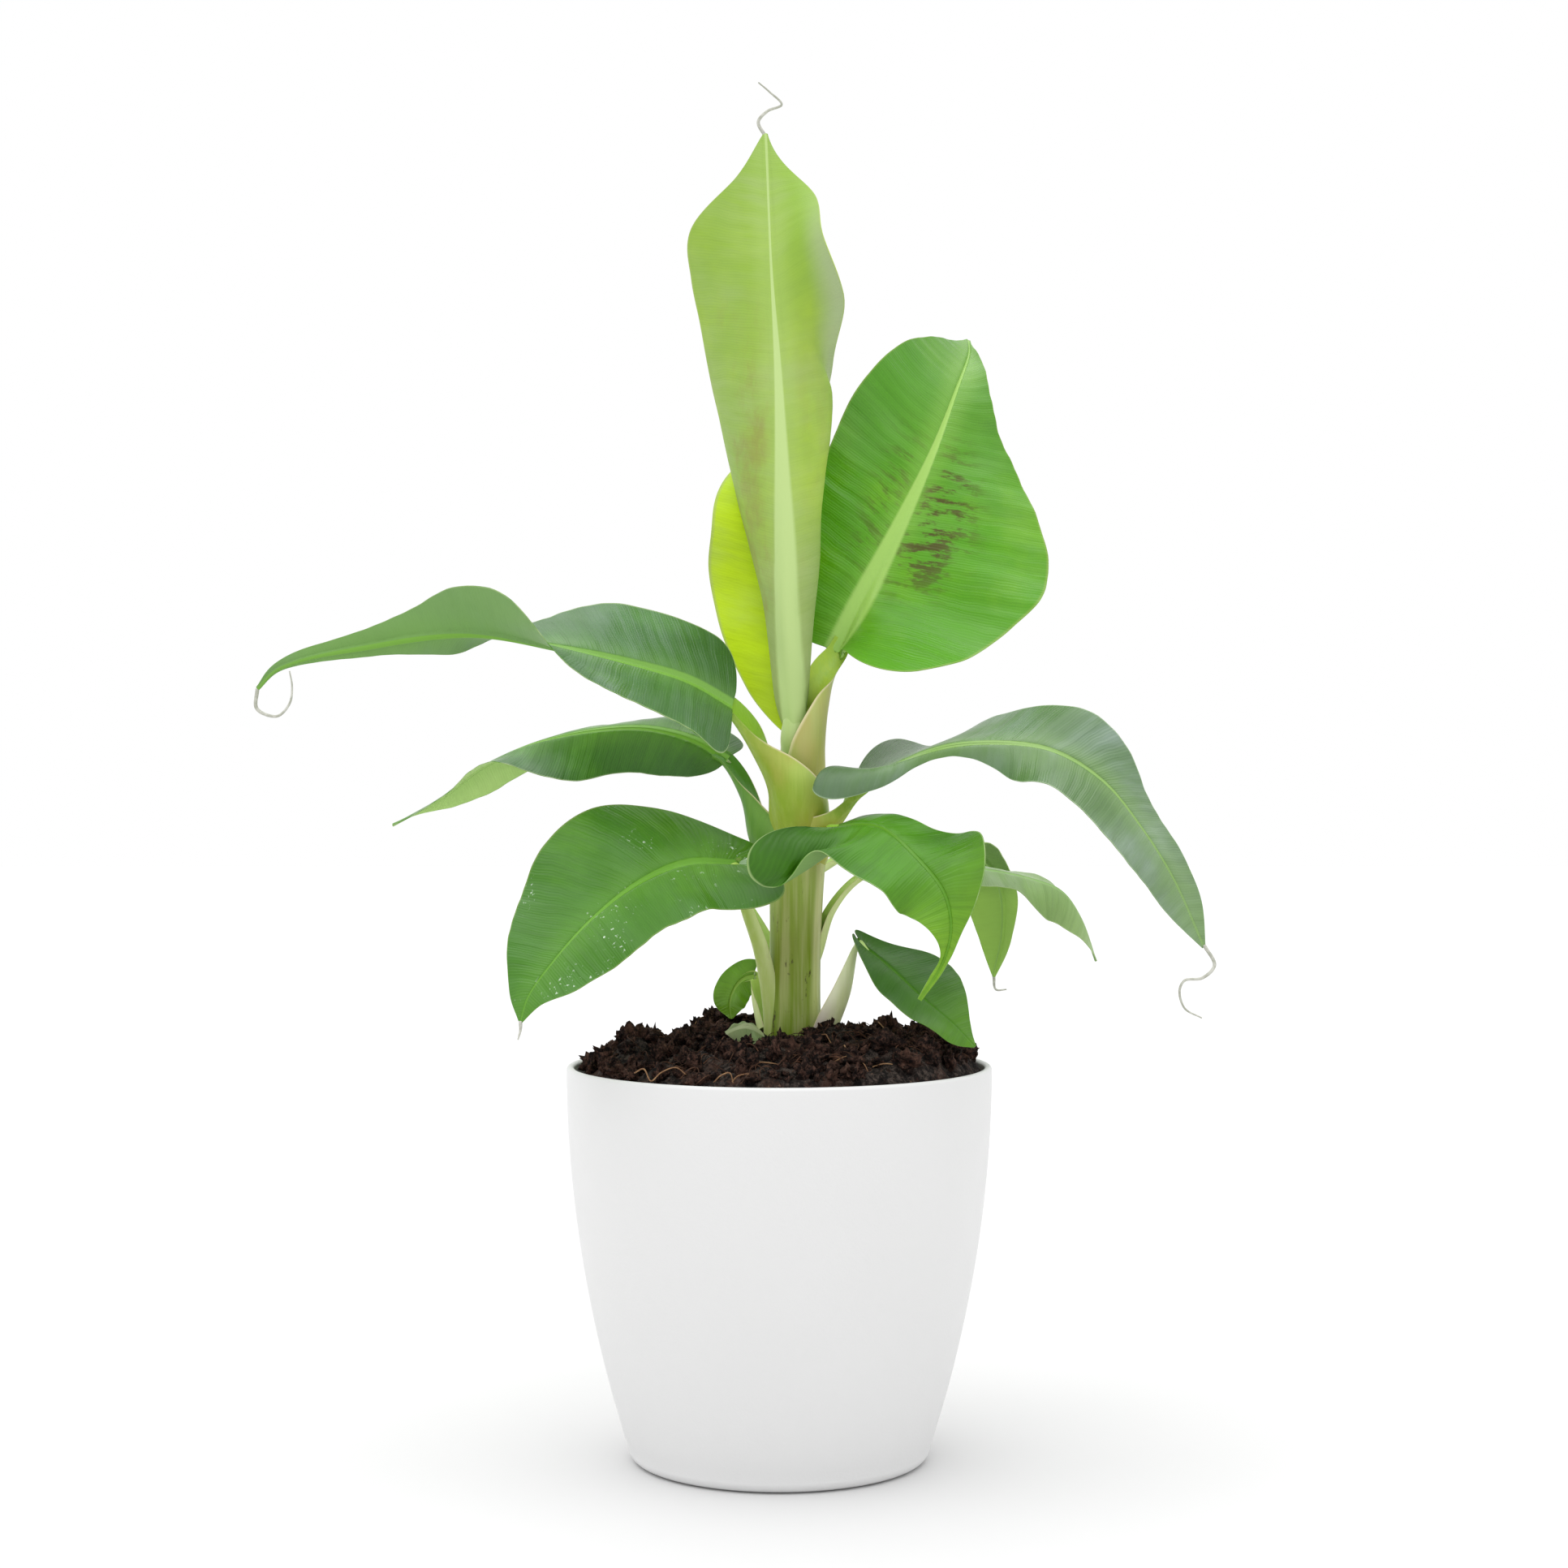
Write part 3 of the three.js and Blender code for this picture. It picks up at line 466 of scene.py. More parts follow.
class Spine:
    """A smooth curve through some places, with a frame that turns as little as it can.

    Attributes:
        length: Its length in mm.
        roll: How far its face is turned about it at even stations, in degrees.
        points: Points at even steps along it, in mm.
        tangents: The direction along it at each point.
        faces: The direction of its face at each point, before it is rolled.
    """

    SAMPLES = 160
    FINE_STEPS = 80

    def __init__(
        self, places: Sequence[Triple], face: Triple, roll: Sequence[float] = (0.0, 0.0)
    ) -> None:
        """Lays the curve.

        Args:
            places: The places that it passes through, in mm.
            face: The way that its face looks at the start.
            roll: How far the face is turned about the curve, in degrees.
        """
        fine = self._curve(np.asarray(places, float))
        run = np.concatenate([[0.0], np.cumsum(np.linalg.norm(np.diff(fine, axis=0), axis=1))])
        even = np.linspace(0, run[-1], self.SAMPLES + 1)
        self.length = float(run[-1])
        self.roll = tuple(roll)
        self.points = np.stack([np.interp(even, run, fine[:, k]) for k in range(3)], 1)
        slopes = np.gradient(self.points, axis=0)
        self.tangents = slopes / np.linalg.norm(slopes, axis=1, keepdims=True)
        self.faces = self._carried(np.asarray(face, float))

    def _curve(self, p: np.ndarray) -> np.ndarray:
        """A centripetal Catmull-Rom curve in short steps.

        Args:
            p: The places that it passes through, (n, 3).

        Returns:
            Points along it, close together.
        """
        p = np.vstack([2 * p[0] - p[1], p, 2 * p[-1] - p[-2]])
        pieces = []
        u = np.linspace(0, 1, self.FINE_STEPS, endpoint=False)[:, None]
        for p0, p1, p2, p3 in zip(p, p[1:], p[2:], p[3:]):
            d0, d1, d2 = (
                max(float(np.linalg.norm(b - a)), 1e-9) ** 0.5
                for a, b in ((p0, p1), (p1, p2), (p2, p3))
            )
            m1 = ((p1 - p0) / d0 - (p2 - p0) / (d0 + d1) + (p2 - p1) / d1) * d1
            m2 = ((p2 - p1) / d1 - (p3 - p1) / (d1 + d2) + (p3 - p2) / d2) * d1
            pieces.append(
                p1 + m1 * u + (3 * p2 - 3 * p1 - 2 * m1 - m2) * u**2
                + (2 * p1 - 2 * p2 + m1 + m2) * u**3
            )
        return np.vstack([*pieces, p[-2][None]])

    @staticmethod
    def _mirrored(v: np.ndarray, axis: np.ndarray) -> np.ndarray:
        """A vector mirrored in the plane across an axis."""
        return v - 2 * (v @ axis) / (axis @ axis) * axis

    def _carried(self, face: np.ndarray) -> np.ndarray:
        """Carries the face along the curve by double reflection.

        Args:
            face: The way that it looks at the start.

        Returns:
            The way that it looks at each point, (n, 3).
        """
        face = face - face @ self.tangents[0] * self.tangents[0]
        faces = [face / np.linalg.norm(face)]
        for i in range(1, self.SAMPLES + 1):
            step = self.points[i] - self.points[i - 1]
            carried = self._mirrored(faces[-1], step)
            second = self.tangents[i] - self._mirrored(self.tangents[i - 1], step)
            faces.append(carried if second @ second < 1e-12 else self._mirrored(carried, second))
        return np.array(faces)

    def at(self, t: np.ndarray) -> tuple[np.ndarray, np.ndarray, np.ndarray, np.ndarray]:
        """The frame at each t.

        Args:
            t: Places from 0 at the foot to 1 at the tip.

        Returns:
            Points, directions along, faces and right-hand sides, each (n, 3).
        """
        place = np.clip(t, 0, 1) * self.SAMPLES
        low = np.minimum(place.astype(int), self.SAMPLES - 1)
        f = (place - low)[:, None]
        point, along, face = (
            rows[low] * (1 - f) + rows[low + 1] * f
            for rows in (self.points, self.tangents, self.faces)
        )
        along /= np.linalg.norm(along, axis=1, keepdims=True)
        face -= (face * along).sum(1, keepdims=True) * along
        face /= np.linalg.norm(face, axis=1, keepdims=True)
        turn = np.radians(station(self.roll, t))[:, None]
        face = face * np.cos(turn) + np.cross(along, face) * np.sin(turn)
        return point, along, face, np.cross(along, face)


# --- mesh helpers
# Takes across (-1 to 1) and along (0 to 1), and gives points in mm and the four map numbers.
Placing = Callable[[np.ndarray, np.ndarray], tuple[np.ndarray, np.ndarray]]
MAP_UNIT = 100.0  # mm to one unit of the map "length"
WELD = 1e-7  # metres between vertices that are merged


class MeshMaker:
    """Collects pieces of one mesh, each laid out from a grid, and turns them into an object.

    Every vertex carries two pairs of numbers, which become the UV maps "share" and "length".

    Attributes:
        bm: The mesh so far, in metres.
        share: Its layer for places across and along, as shares from 0 to 1.
        length: Its layer for the same places, as lengths.
    """

    def __init__(self) -> None:
        """Starts an empty mesh."""
        self.bm = bmesh.new()
        self.share = self.bm.verts.layers.float_vector.new("share_map")
        self.length = self.bm.verts.layers.float_vector.new("length_map")

    def sheet(
        self, columns: int, rows: int, place: Placing, slot: int = 0, flip: bool = False
    ) -> list[bmesh.types.BMVert]:
        """Adds a grid that a function lays in space.

        Args:
            columns: Faces across.
            rows: Faces along.
            place: Lays the grid's places in space.
            slot: Material slot of its faces.
            flip: Turns its faces over.

        Returns:
            The grid's vertices.
        """
        made = bmesh.ops.create_grid(self.bm, x_segments=columns, y_segments=rows, size=1.0)
        verts = made["verts"]
        flat = np.array([v.co[:2] for v in verts])
        points, maps = place(flat[:, 0], (flat[:, 1] + 1) / 2)
        for v, p, m in zip(verts, points * MM, maps):
            v.co = p
            v[self.share] = (m[0], m[1], 0)
            v[self.length] = (m[2], m[3], 0)
        faces = {f for v in verts for f in v.link_faces}
        for f in faces:
            f.material_index = slot
        if flip:
            bmesh.ops.reverse_faces(self.bm, faces=list(faces))
        return verts

    def tube(self, spine: Spine, radii: Sequence[float], sides: int, rows: int) -> None:
        """Adds a closed round limb along a spine.

        Args:
            spine: The line it follows.
            radii: Its radii from foot to tip, in mm.
            sides: Faces round it.
            rows: Faces along it.
        """
        verts = self.sheet(sides, rows, partial(self._round, spine, radii))
        bmesh.ops.remove_doubles(self.bm, verts=verts, dist=WELD)
        self.close_holes()

    @staticmethod
    def _round(
        spine: Spine, radii: Sequence[float], across: np.ndarray, along: np.ndarray
    ) -> tuple[np.ndarray, np.ndarray]:
        """Lays a grid round a spine.

        Args:
            spine: The line it follows.
            radii: Its radii from foot to tip, in mm.
            across: Places round it, from -1 to 1.
            along: Places along it, from 0 to 1.

        Returns:
            Points in mm, and their maps.
        """
        point, _, face, right = spine.at(along)
        radius = station(radii, along)
        angle = across * math.pi
        out = np.cos(angle)[:, None] * face + np.sin(angle)[:, None] * right
        lengths = (angle * radius / MAP_UNIT, along * spine.length / MAP_UNIT)
        return point + radius[:, None] * out, np.stack([across / 2 + 0.5, along, *lengths], 1)

    def close_holes(self) -> None:
        """Closes every open loop of edges with a face."""
        edges = [e for e in self.bm.edges if e.is_boundary]
        bmesh.ops.holes_fill(self.bm, edges=edges, sides=0)

    def bridge(self, slot: int) -> None:
        """Joins the open rims of two sheets with a strip of faces, which closes them.

        Args:
            slot: Material slot of the strip.
        """
        known = set(self.bm.faces)
        bmesh.ops.bridge_loops(self.bm, edges=[e for e in self.bm.edges if e.is_boundary])
        for f in self.bm.faces:
            if f not in known:
                f.material_index = slot
        bmesh.ops.recalc_face_normals(self.bm, faces=self.bm.faces)

    def finish(
        self, name: str, materials: Sequence[bpy.types.Material], slot: str,
        replaces: Sequence[str] = (), sharp: float = 40.0,
    ) -> None:
        """Makes the object, which rides on the body and stands for the CAD nodes.

        Args:
            name: The object's name.
            materials: Its materials, in the order of the slots.
            slot: The record's material slot; not used.
            replaces: The CAD nodes that it stands for.
            sharp: Edges that turn by more than this many degrees stay sharp.
        """
        mesh = bpy.data.meshes.new(name)
        self.bm.to_mesh(mesh)
        self.bm.free()
        loops = np.zeros(len(mesh.loops), np.int32)
        mesh.loops.foreach_get("vertex_index", loops)
        for key in ("share", "length"):
            values = np.zeros(len(mesh.vertices) * 3, np.float32)
            mesh.attributes[f"{key}_map"].data.foreach_get("vector", values)
            uv = mesh.uv_layers.new(name=key)
            uv.uv.foreach_set("vector", values.reshape(-1, 3)[loops, :2].ravel())
        for key in ("share_map", "length_map"):
            mesh.attributes.remove(mesh.attributes[key])
        mesh.shade_smooth()
        mesh.set_sharp_from_angle(angle=math.radians(sharp))
        for material in materials:
            mesh.materials.append(material)
        piece = bpy.data.objects.new(name, mesh)
        bpy.context.scene.collection.objects.link(piece)
        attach(piece, BODY)
        if replaces:
            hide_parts(*replaces)
        log.info("%s made, %d vertices", name, len(mesh.vertices))


# --- node helpers
class Shading:
    """Builds the node tree of one material round a Principled shader."""

    def __init__(self, name: str, roughness: float, specular: float = 0.5) -> None:
        """Starts a material.

        Args:
            name: Its name.
            roughness: How dull it is, from 0 to 1.
            specular: Strength of its reflection, a half for plain plastic.
        """
        self.material = bpy.data.materials.new(name)
        self.material.use_nodes = True
        self.tree = self.material.node_tree
        self.shader = self.tree.nodes["Principled BSDF"]
        self.into("Roughness", roughness)
        self.into("Specular IOR Level", specular)

    def into(self, name: str, value: Value) -> None:
        """Feeds an input of the shader."""
        self.feed(self.shader.inputs[name], value)

    def feed(self, socket: bpy.types.NodeSocket, value: Value) -> None:
        """Links a socket, or sets its number or colour.

        Args:
            socket: The socket.
            value: What goes into it.
        """
        if isinstance(value, bpy.types.NodeSocket):
            self.tree.links.new(value, socket)
        elif isinstance(value, tuple) and len(value) == 3 and socket.type == "RGBA":
            socket.default_value = (*value, 1.0)
        else:
            socket.default_value = value

    def node(
        self, kind: str, inputs: Optional[dict[str | int, Value]] = None, **settings: str
    ) -> bpy.types.Node:
        """Adds a node, sets it up and feeds its inputs.

        Args:
            kind: The kind of node.
            inputs: What goes into its inputs, by name or number.
            **settings: The node's own settings.

        Returns:
            The node.
        """
        made = self.tree.nodes.new(kind)
        for key, value in settings.items():
            setattr(made, key, value)
        for key, value in (inputs or {}).items():
            self.feed(made.inputs[key], value)
        return made

    def math(self, operation: str, *values: Value, clamp: bool = False) -> bpy.types.NodeSocket:
        """One sum.

        Args:
            operation: What is done with the values.
            *values: One or two values.
            clamp: Whether the result is kept from 0 to 1.

        Returns:
            The result.
        """
        made = self.node("ShaderNodeMath", dict(enumerate(values)), operation=operation)
        made.use_clamp = clamp
        return made.outputs[0]

    def times(self, first: Value, *others: Value) -> bpy.types.NodeSocket:
        """The product of some values."""
        return reduce(partial(self.math, "MULTIPLY"), others, first)

    def plus(self, one: Value, other: Value) -> bpy.types.NodeSocket:
        """The sum of two values."""
        return self.math("ADD", one, other)

    def off_middle(self, share: Value) -> bpy.types.NodeSocket:
        """How far a share lies from a half, from 0 to 1."""
        return self.times(self.math("ABSOLUTE", self.math("SUBTRACT", share, 0.5)), 2.0)

    def step(
        self, value: Value, low: float, high: float, out: tuple[float, float] = (0.0, 1.0)
    ) -> bpy.types.NodeSocket:
        """A smooth step.

        Args:
            value: What it follows.
            low: Where it starts.
            high: Where it ends.
            out: The results at its start and end.

        Returns:
            The result.
        """
        ends = {"From Min": low, "From Max": high, "To Min": out[0], "To Max": out[1]}
        made = self.node(
            "ShaderNodeMapRange", {"Value": value, **ends}, interpolation_type="SMOOTHSTEP"
        )
        return made.outputs["Result"]

    def mix(self, share: Value, low: Value, high: Value) -> bpy.types.NodeSocket:
        """Mixes two colours.

        Args:
            share: How much of the second it takes.
            low: The first colour.
            high: The second colour.

        Returns:
            The mixed colour.
        """
        inputs = {0: share, 6: low, 7: high}
        return self.node("ShaderNodeMix", inputs, data_type="RGBA").outputs[2]

    def noise(
        self, scale: float, detail: float = 3, rough: float = 0.5,
        where: Optional[bpy.types.NodeSocket] = None, stretch: Triple = (1, 1, 1),
    ) -> bpy.types.NodeSocket:
        """Noise, in object coordinates unless told otherwise.

        Args:
            scale: Its size, in patterns to the metre.
            detail: How many finer layers it has.
            rough: How strong those are.
            where: Coordinates that take the place of the object's.
            stretch: Factors on the object's coordinates.

        Returns:
            Its value, round a half.
        """
        if where is None:
            where = self.node("ShaderNodeTexCoord").outputs["Object"]
            if stretch != (1, 1, 1):
                mapped = self.node("ShaderNodeMapping", {"Vector": where, "Scale": stretch})
                where = mapped.outputs["Vector"]
        inputs = {"Vector": where, "Scale": scale, "Detail": detail, "Roughness": rough}
        return self.node("ShaderNodeTexNoise", inputs).outputs["Fac"]

    def uv(self, name: str) -> tuple[bpy.types.NodeSocket, bpy.types.NodeSocket]:
        """The two numbers of a UV map.

        Args:
            name: The map's name.

        Returns:
            The number across and the number along.
        """
        made = self.node("ShaderNodeUVMap", uv_map=name)
        split = self.node("ShaderNodeSeparateXYZ", {"Vector": made.outputs["UV"]})
        return split.outputs["X"], split.outputs["Y"]

    def bump(self, height: Value, distance: float) -> None:
        """Bumps the surface.

        Args:
            height: The pattern of its heights.
            distance: The height of one unit of the pattern, in metres.
        """
        inputs = {"Height": height, "Distance": distance, "Strength": 1.0}
        self.into("Normal", self.node("ShaderNodeBump", inputs).outputs["Normal"])


# --- finishes
class Side(Enum):
    """The two sides of a blade, and its cut edge."""

    UPPER = 0
    UNDER = 1
    EDGE = 2


class VeinMap:
    """Where a shading point of a blade lies, measured along the blade, across it and by its veins.

    Attributes:
        paint: The material that reads it.
        along: Share of the length from foot to tip.
        reach: Share of the half's width from midrib to margin.
        side: Below a half on the left half and above it on the right.
        out: Distance from the midrib in mm.
        vein: Which vein it lies on, as the place in mm at which that vein leaves the midrib.
    """

    LEAN = 0.32  # how far the veins lean towards the tip, for each mm from the midrib
    WANDER = 3.0  # mm
    FINE = 1.15  # mm between the finest veins
    MAIN = 6.3  # mm between the raised ones

    def __init__(self, paint: Shading) -> None:
        """Reads the blade's maps.

        Args:
            paint: The material that reads them.
        """
        self.paint = paint
        self.side, self.along = paint.uv("share")
        across, along = paint.uv("length")
        self.reach = paint.off_middle(self.side)
        self.out = paint.times(paint.math("ABSOLUTE", across), MAP_UNIT)
        start = paint.times(along, MAP_UNIT)
        start = paint.math("SUBTRACT", start, paint.times(self.out, self.LEAN))
        self.vein = paint.plus(start, paint.times(paint.noise(60, 2), self.WANDER))

    def wave(self, period: float) -> bpy.types.NodeSocket:
        """A wave across the veins, from -1 to 1, with a period in mm."""
        return self.paint.math("SINE", self.paint.times(self.vein, 2 * math.pi / period))

    def strands(self, over: float, along: float) -> bpy.types.NodeSocket:
        """Coordinates that stretch a pattern along the veins.

        Args:
            over: Pattern sizes to the mm across the veins.
            along: Pattern sizes to the mm along them.

        Returns:
            The coordinates.
        """
        places = {"X": self.paint.times(self.vein, over), "Y": self.paint.times(self.out, along)}
        return self.paint.node("ShaderNodeCombineXYZ", places).outputs["Vector"]


@dataclass(frozen=True)
class LeafFinish:
    """The colours and marks of one age of leaf.

    Attributes:
        name: Start of the materials' names.
        dark: Upper side between the veins and by the margin.
        light: Upper side beside the midrib and where it is thin.
        rib: The midrib.
        under: The underside.
        edge: The margin.
        tip: The colour that the upper side takes towards its tip.
        tip_under: How much the underside takes it.
        foot: The colour that the underside takes towards its foot.
        foot_span: Shares of the length at which that starts and is full.
        shade: How much painted shade darkens the upper side at its foot.
        flush: How much of the blade takes the light colour, from 0 to 1.
        blotch: Strength of the red-brown marks of young leaves.
        mark: The marks' colour.
        blush: Strength of the faint marks on the underside.
        blush_mark: Those marks' colour.
        specks: Strength of dried water drops.
        drop: The colour of those.
        bloom_and_sheen: Strength of the pale waxy bloom and of the painted sheen with it.
        wax_and_sheen: The colour of the bloom and painted sheen.
        margin_sheen: Strength of the painted sheen by the underside's left margin.
        margin_sheen_colour: That painted sheen's colour.
        gloss: Strength of the upper side's reflection.
        roughness: How dull that reflection is.
        rib_halves: Half the width of the midrib's pale band at its foot and tip, in mm.
    """

    name: str
    dark: Colour
    light: Colour
    rib: Colour
    under: Colour
    edge: Colour
    tip: Colour
    tip_under: float = 0.0
    foot: Colour = (0.2, 0.34, 0.1)
    foot_span: tuple[float, float] = (0.5, 0.02)
    shade: float = 0.5
    flush: float = 0.4
    blotch: float = 0.0
    mark: Colour = (0.05, 0.06, 0.008)
    blush: float = 0.0
    blush_mark: Colour = (0.29, 0.22, 0.08)
    specks: float = 0.0
    drop: Colour = (0.62, 0.74, 0.6)
    bloom_and_sheen: float = 0.0
    wax_and_sheen: Colour = (0.3, 0.42, 0.34)
    margin_sheen: float = 0.0
    margin_sheen_colour: Colour = (0.5, 0.54, 0.42)
    gloss: float = 0.3
    roughness: float = 0.38
    rib_halves: tuple[float, float] = (3.2, 0.8)

    def materials(self) -> list[bpy.types.Material]:
        """The materials for the upper side, the underside and the edge."""
        return [self._side(Side.UPPER), self._side(Side.UNDER), self._rim()]

    def _side(self, side: Side) -> bpy.types.Material:
        """Lays one side out from its base colour up to its midrib and margin.

        Args:
            side: The upper side or the underside.

        Returns:
            Its material.
        """
        upper = side is Side.UPPER
        name = f"{self.name}_{side.name.lower()}"
        paint = Shading(name, self.roughness if upper else 0.6, self.gloss if upper else 0.16)
        lie = VeinMap(paint)
        colour = self._bloom_and_sheen(lie, self._ground(lie, upper), upper)
        if upper and self.blotch:
            colour = self._blotched(lie, colour)
        if not upper and self.blush:
            colour = self._blushed(lie, colour)
        if upper and self.specks:
            colour = self._speckled(paint, colour)
        rib = self._rib_share(lie, upper)
        glow = paint.times(paint.step(lie.out, 12.0, 1.5), 0.18)
        colour = paint.mix(rib, paint.mix(glow, colour, self.rib), self.rib)
        margin = paint.times(paint.step(lie.reach, 0.976, 0.995), 0.65)
        paint.into("Base Color", paint.mix(margin, colour, self.edge))
        self._relief(lie, rib, upper)
        if upper:
            span = (self.roughness - 0.08, self.roughness + 0.12)
            paint.into("Roughness", paint.step(paint.noise(40, 3), 0.3, 0.75, span))
        return paint.material

    def _ground(self, lie: VeinMap, upper: bool) -> bpy.types.NodeSocket:
        """The base colour: clouds, soft strands along the veins, and its turn to foot and tip.

        Args:
            lie: Where the shading point lies.
            upper: Whether this is the upper side.

        Returns:
            The colour.
        """
        paint = lie.paint
        low, high = (self.dark, self.light) if upper else (self.under, self.light)
        onset = 0.62 - 0.4 * self.flush
        cloud = paint.step(paint.noise(21, 4, 0.6), onset, onset + 0.33)
        by_rib = paint.times(paint.step(lie.out, 24.0, 2.0), 0.3)
        cloud = paint.math("ADD", cloud, by_rib, clamp=True)
        colour = paint.mix(cloud if upper else paint.times(cloud, 0.3), low, high)
        if upper:
            age = paint.times(paint.step(lie.along, 0.4, 1.0), 0.65)
            colour = paint.mix(age, colour, self.tip)
            # painted shade: the upper side darkens towards its foot, near the stem
            start = paint.times(paint.step(lie.along, 0.16, 0.03), self.shade)
            colour = paint.mix(start, colour, tuple(c * 0.55 for c in self.dark))
        else:
            age = paint.times(paint.step(lie.along, 0.6, 1.0), self.tip_under)
            colour = paint.mix(age, colour, self.tip)
            start = paint.times(paint.step(lie.along, *self.foot_span), 0.7)
            colour = paint.mix(start, colour, self.foot)
        strand = paint.step(paint.noise(1.0, 3, 0.55, where=lie.strands(0.3, 0.035)), 0.35, 0.75)
        shaded = tuple(c * 0.6 for c in low)
        colour = paint.mix(paint.times(strand, 0.3 if upper else 0.1), colour, shaded)
        line = tuple(min(1.0, c * 1.3 + 0.01) for c in high)
        fade = paint.step(paint.noise(15, 2), 0.35, 0.7)
        fine = paint.times(paint.step(lie.wave(lie.FINE), -0.2, 1.0), fade, 0.12 if upper else 0.05)
        return paint.mix(fine, colour, line)

    def _bloom_and_sheen(
        self, lie: VeinMap, colour: bpy.types.NodeSocket, upper: bool
    ) -> bpy.types.NodeSocket:
        """Adds the waxy bloom and painted sheen, in soft patches that follow the veins a little.

        Args:
            lie: Where the shading point lies.
            colour: The colour below.
            upper: Whether this is the upper side.

        Returns:
            The colour with the bloom and painted sheen.
        """
        paint = lie.paint
        patch = paint.step(paint.noise(13, 3, 0.5), 0.36, 0.66)
        grain = paint.noise(1.0, 3, 0.6, where=lie.strands(0.12, 0.03))
        grain = paint.step(grain, 0.3, 0.7, (0.3, 1.0))
        from_foot = paint.step(lie.along, 0.04, 0.2, (0.35, 1.0))
        # painted sheen: the pale patches also stand in for the grey-blue highlights on the waxy
        # leaves
        colour = paint.mix(paint.times(patch, grain, self.bloom_and_sheen, from_foot), colour, self.wax_and_sheen)
        if upper or not self.margin_sheen:
            return colour
        # painted sheen: a grey stripe by the underside's left margin, where its rolled edge catches
        # the light
        by_margin = paint.times(
            paint.step(lie.reach, 0.5, 0.95), paint.step(lie.side, 0.5, 0.4),
            paint.step(lie.along, 0.95, 0.7), self.margin_sheen,
        )
        return paint.mix(by_margin, colour, self.margin_sheen_colour)

    def _blotched(self, lie: VeinMap, colour: bpy.types.NodeSocket) -> bpy.types.NodeSocket:
        """Adds a young leaf's marks, in bars between the veins on the middle of the upper side.

        Args:
            lie: Where the shading point lies.
            colour: The colour below.

        Returns:
            The colour with the marks.
        """
        paint = lie.paint
        marks = paint.noise(1.0, 4, 0.66, where=lie.strands(0.22, 0.075))
        share = paint.times(
            paint.step(marks, 0.47, 0.6), paint.step(lie.side, 0.49, 0.51, (0.5, 1.0)),
            paint.step(lie.along, 0.12, 0.3), paint.step(lie.along, 0.66, 0.45),
            paint.step(lie.out, 1.5, 6.0), paint.step(lie.reach, 0.62, 0.25), self.blotch,
        )
        return paint.mix(share, colour, self.mark)

    def _blushed(self, lie: VeinMap, colour: bpy.types.NodeSocket) -> bpy.types.NodeSocket:
        """Adds the faint marks that show through on the underside.

        Args:
            lie: Where the shading point lies.
            colour: The colour below.

        Returns:
            The colour with the marks.
        """
        paint = lie.paint
        marks = paint.noise(34, 6, 0.75, stretch=(1, 1, 0.55))
        share = paint.times(
            paint.step(marks, 0.44, 0.66), paint.step(lie.side, 0.46, 0.54, (0.3, 1.0)),
            paint.step(lie.along, 0.02, 0.2), paint.step(lie.along, 0.85, 0.5),
            paint.step(lie.out, 2.0, 9.0), self.blush,
        )
        return paint.mix(share, colour, self.blush_mark)

    def _speckled(self, paint: Shading, colour: bpy.types.NodeSocket) -> bpy.types.NodeSocket:
        """Adds the pale dots that drops of water leave.

        Args:
            paint: The material.
            colour: The colour below.

        Returns:
            The colour with the dots.
        """
        dots = paint.step(paint.noise(640, 2, 0.5), 0.64, 0.7)
        patch = paint.step(paint.noise(26, 3, 0.6), 0.52, 0.64)
        return paint.mix(paint.times(dots, patch, self.specks), colour, self.drop)

    def _rib_share(self, lie: VeinMap, upper: bool) -> bpy.types.NodeSocket:
        """The share of the midrib's colour, in a band that narrows and fades to the tip.

        Args:
            lie: Where the shading point lies.
            upper: Whether this is the upper side.

        Returns:
            The share.
        """
        paint = lie.paint
        narrowing = paint.math("POWER", paint.math("SUBTRACT", 1.0, lie.along), 1.6)
        half = paint.step(narrowing, 1.0, 0.0, self.rib_halves)
        share = paint.step(paint.math("DIVIDE", lie.out, half), 1.15, 0.7)
        return paint.times(share, paint.step(lie.along, 0.55, 1.0, (0.92, 0.45 if upper else 0.7)))

    def _relief(self, lie: VeinMap, rib: bpy.types.NodeSocket, upper: bool) -> None:
        """Bumps the side along its veins, except on the midrib.

        Args:
            lie: Where the shading point lies.
            rib: The share of the midrib's colour.
            upper: Whether this is the upper side.
        """
        paint = lie.paint
        strand = paint.noise(1.0, 3, 0.5, where=lie.strands(0.42, 0.02))
        height = paint.plus(paint.times(lie.wave(lie.FINE), 0.05), strand)
        height = paint.plus(height, paint.times(lie.wave(lie.MAIN), 0.12 if upper else 0.05))
        height = paint.times(height, paint.math("SUBTRACT", 1.0, rib))
        height = paint.plus(height, paint.times(paint.noise(150, 3), 0.3))
        paint.bump(height, 0.00042 if upper else 0.0002)

    def _rim(self) -> bpy.types.Material:
        """Lays out the cut edge.

        Returns:
            Its material.
        """
        paint = Shading(f"{self.name}_edge", 0.5, 0.2)
        tint = paint.step(paint.noise(160, 2), 0.3, 0.7)
        paint.into("Base Color", paint.mix(tint, self.edge, self.light))
        return paint.material


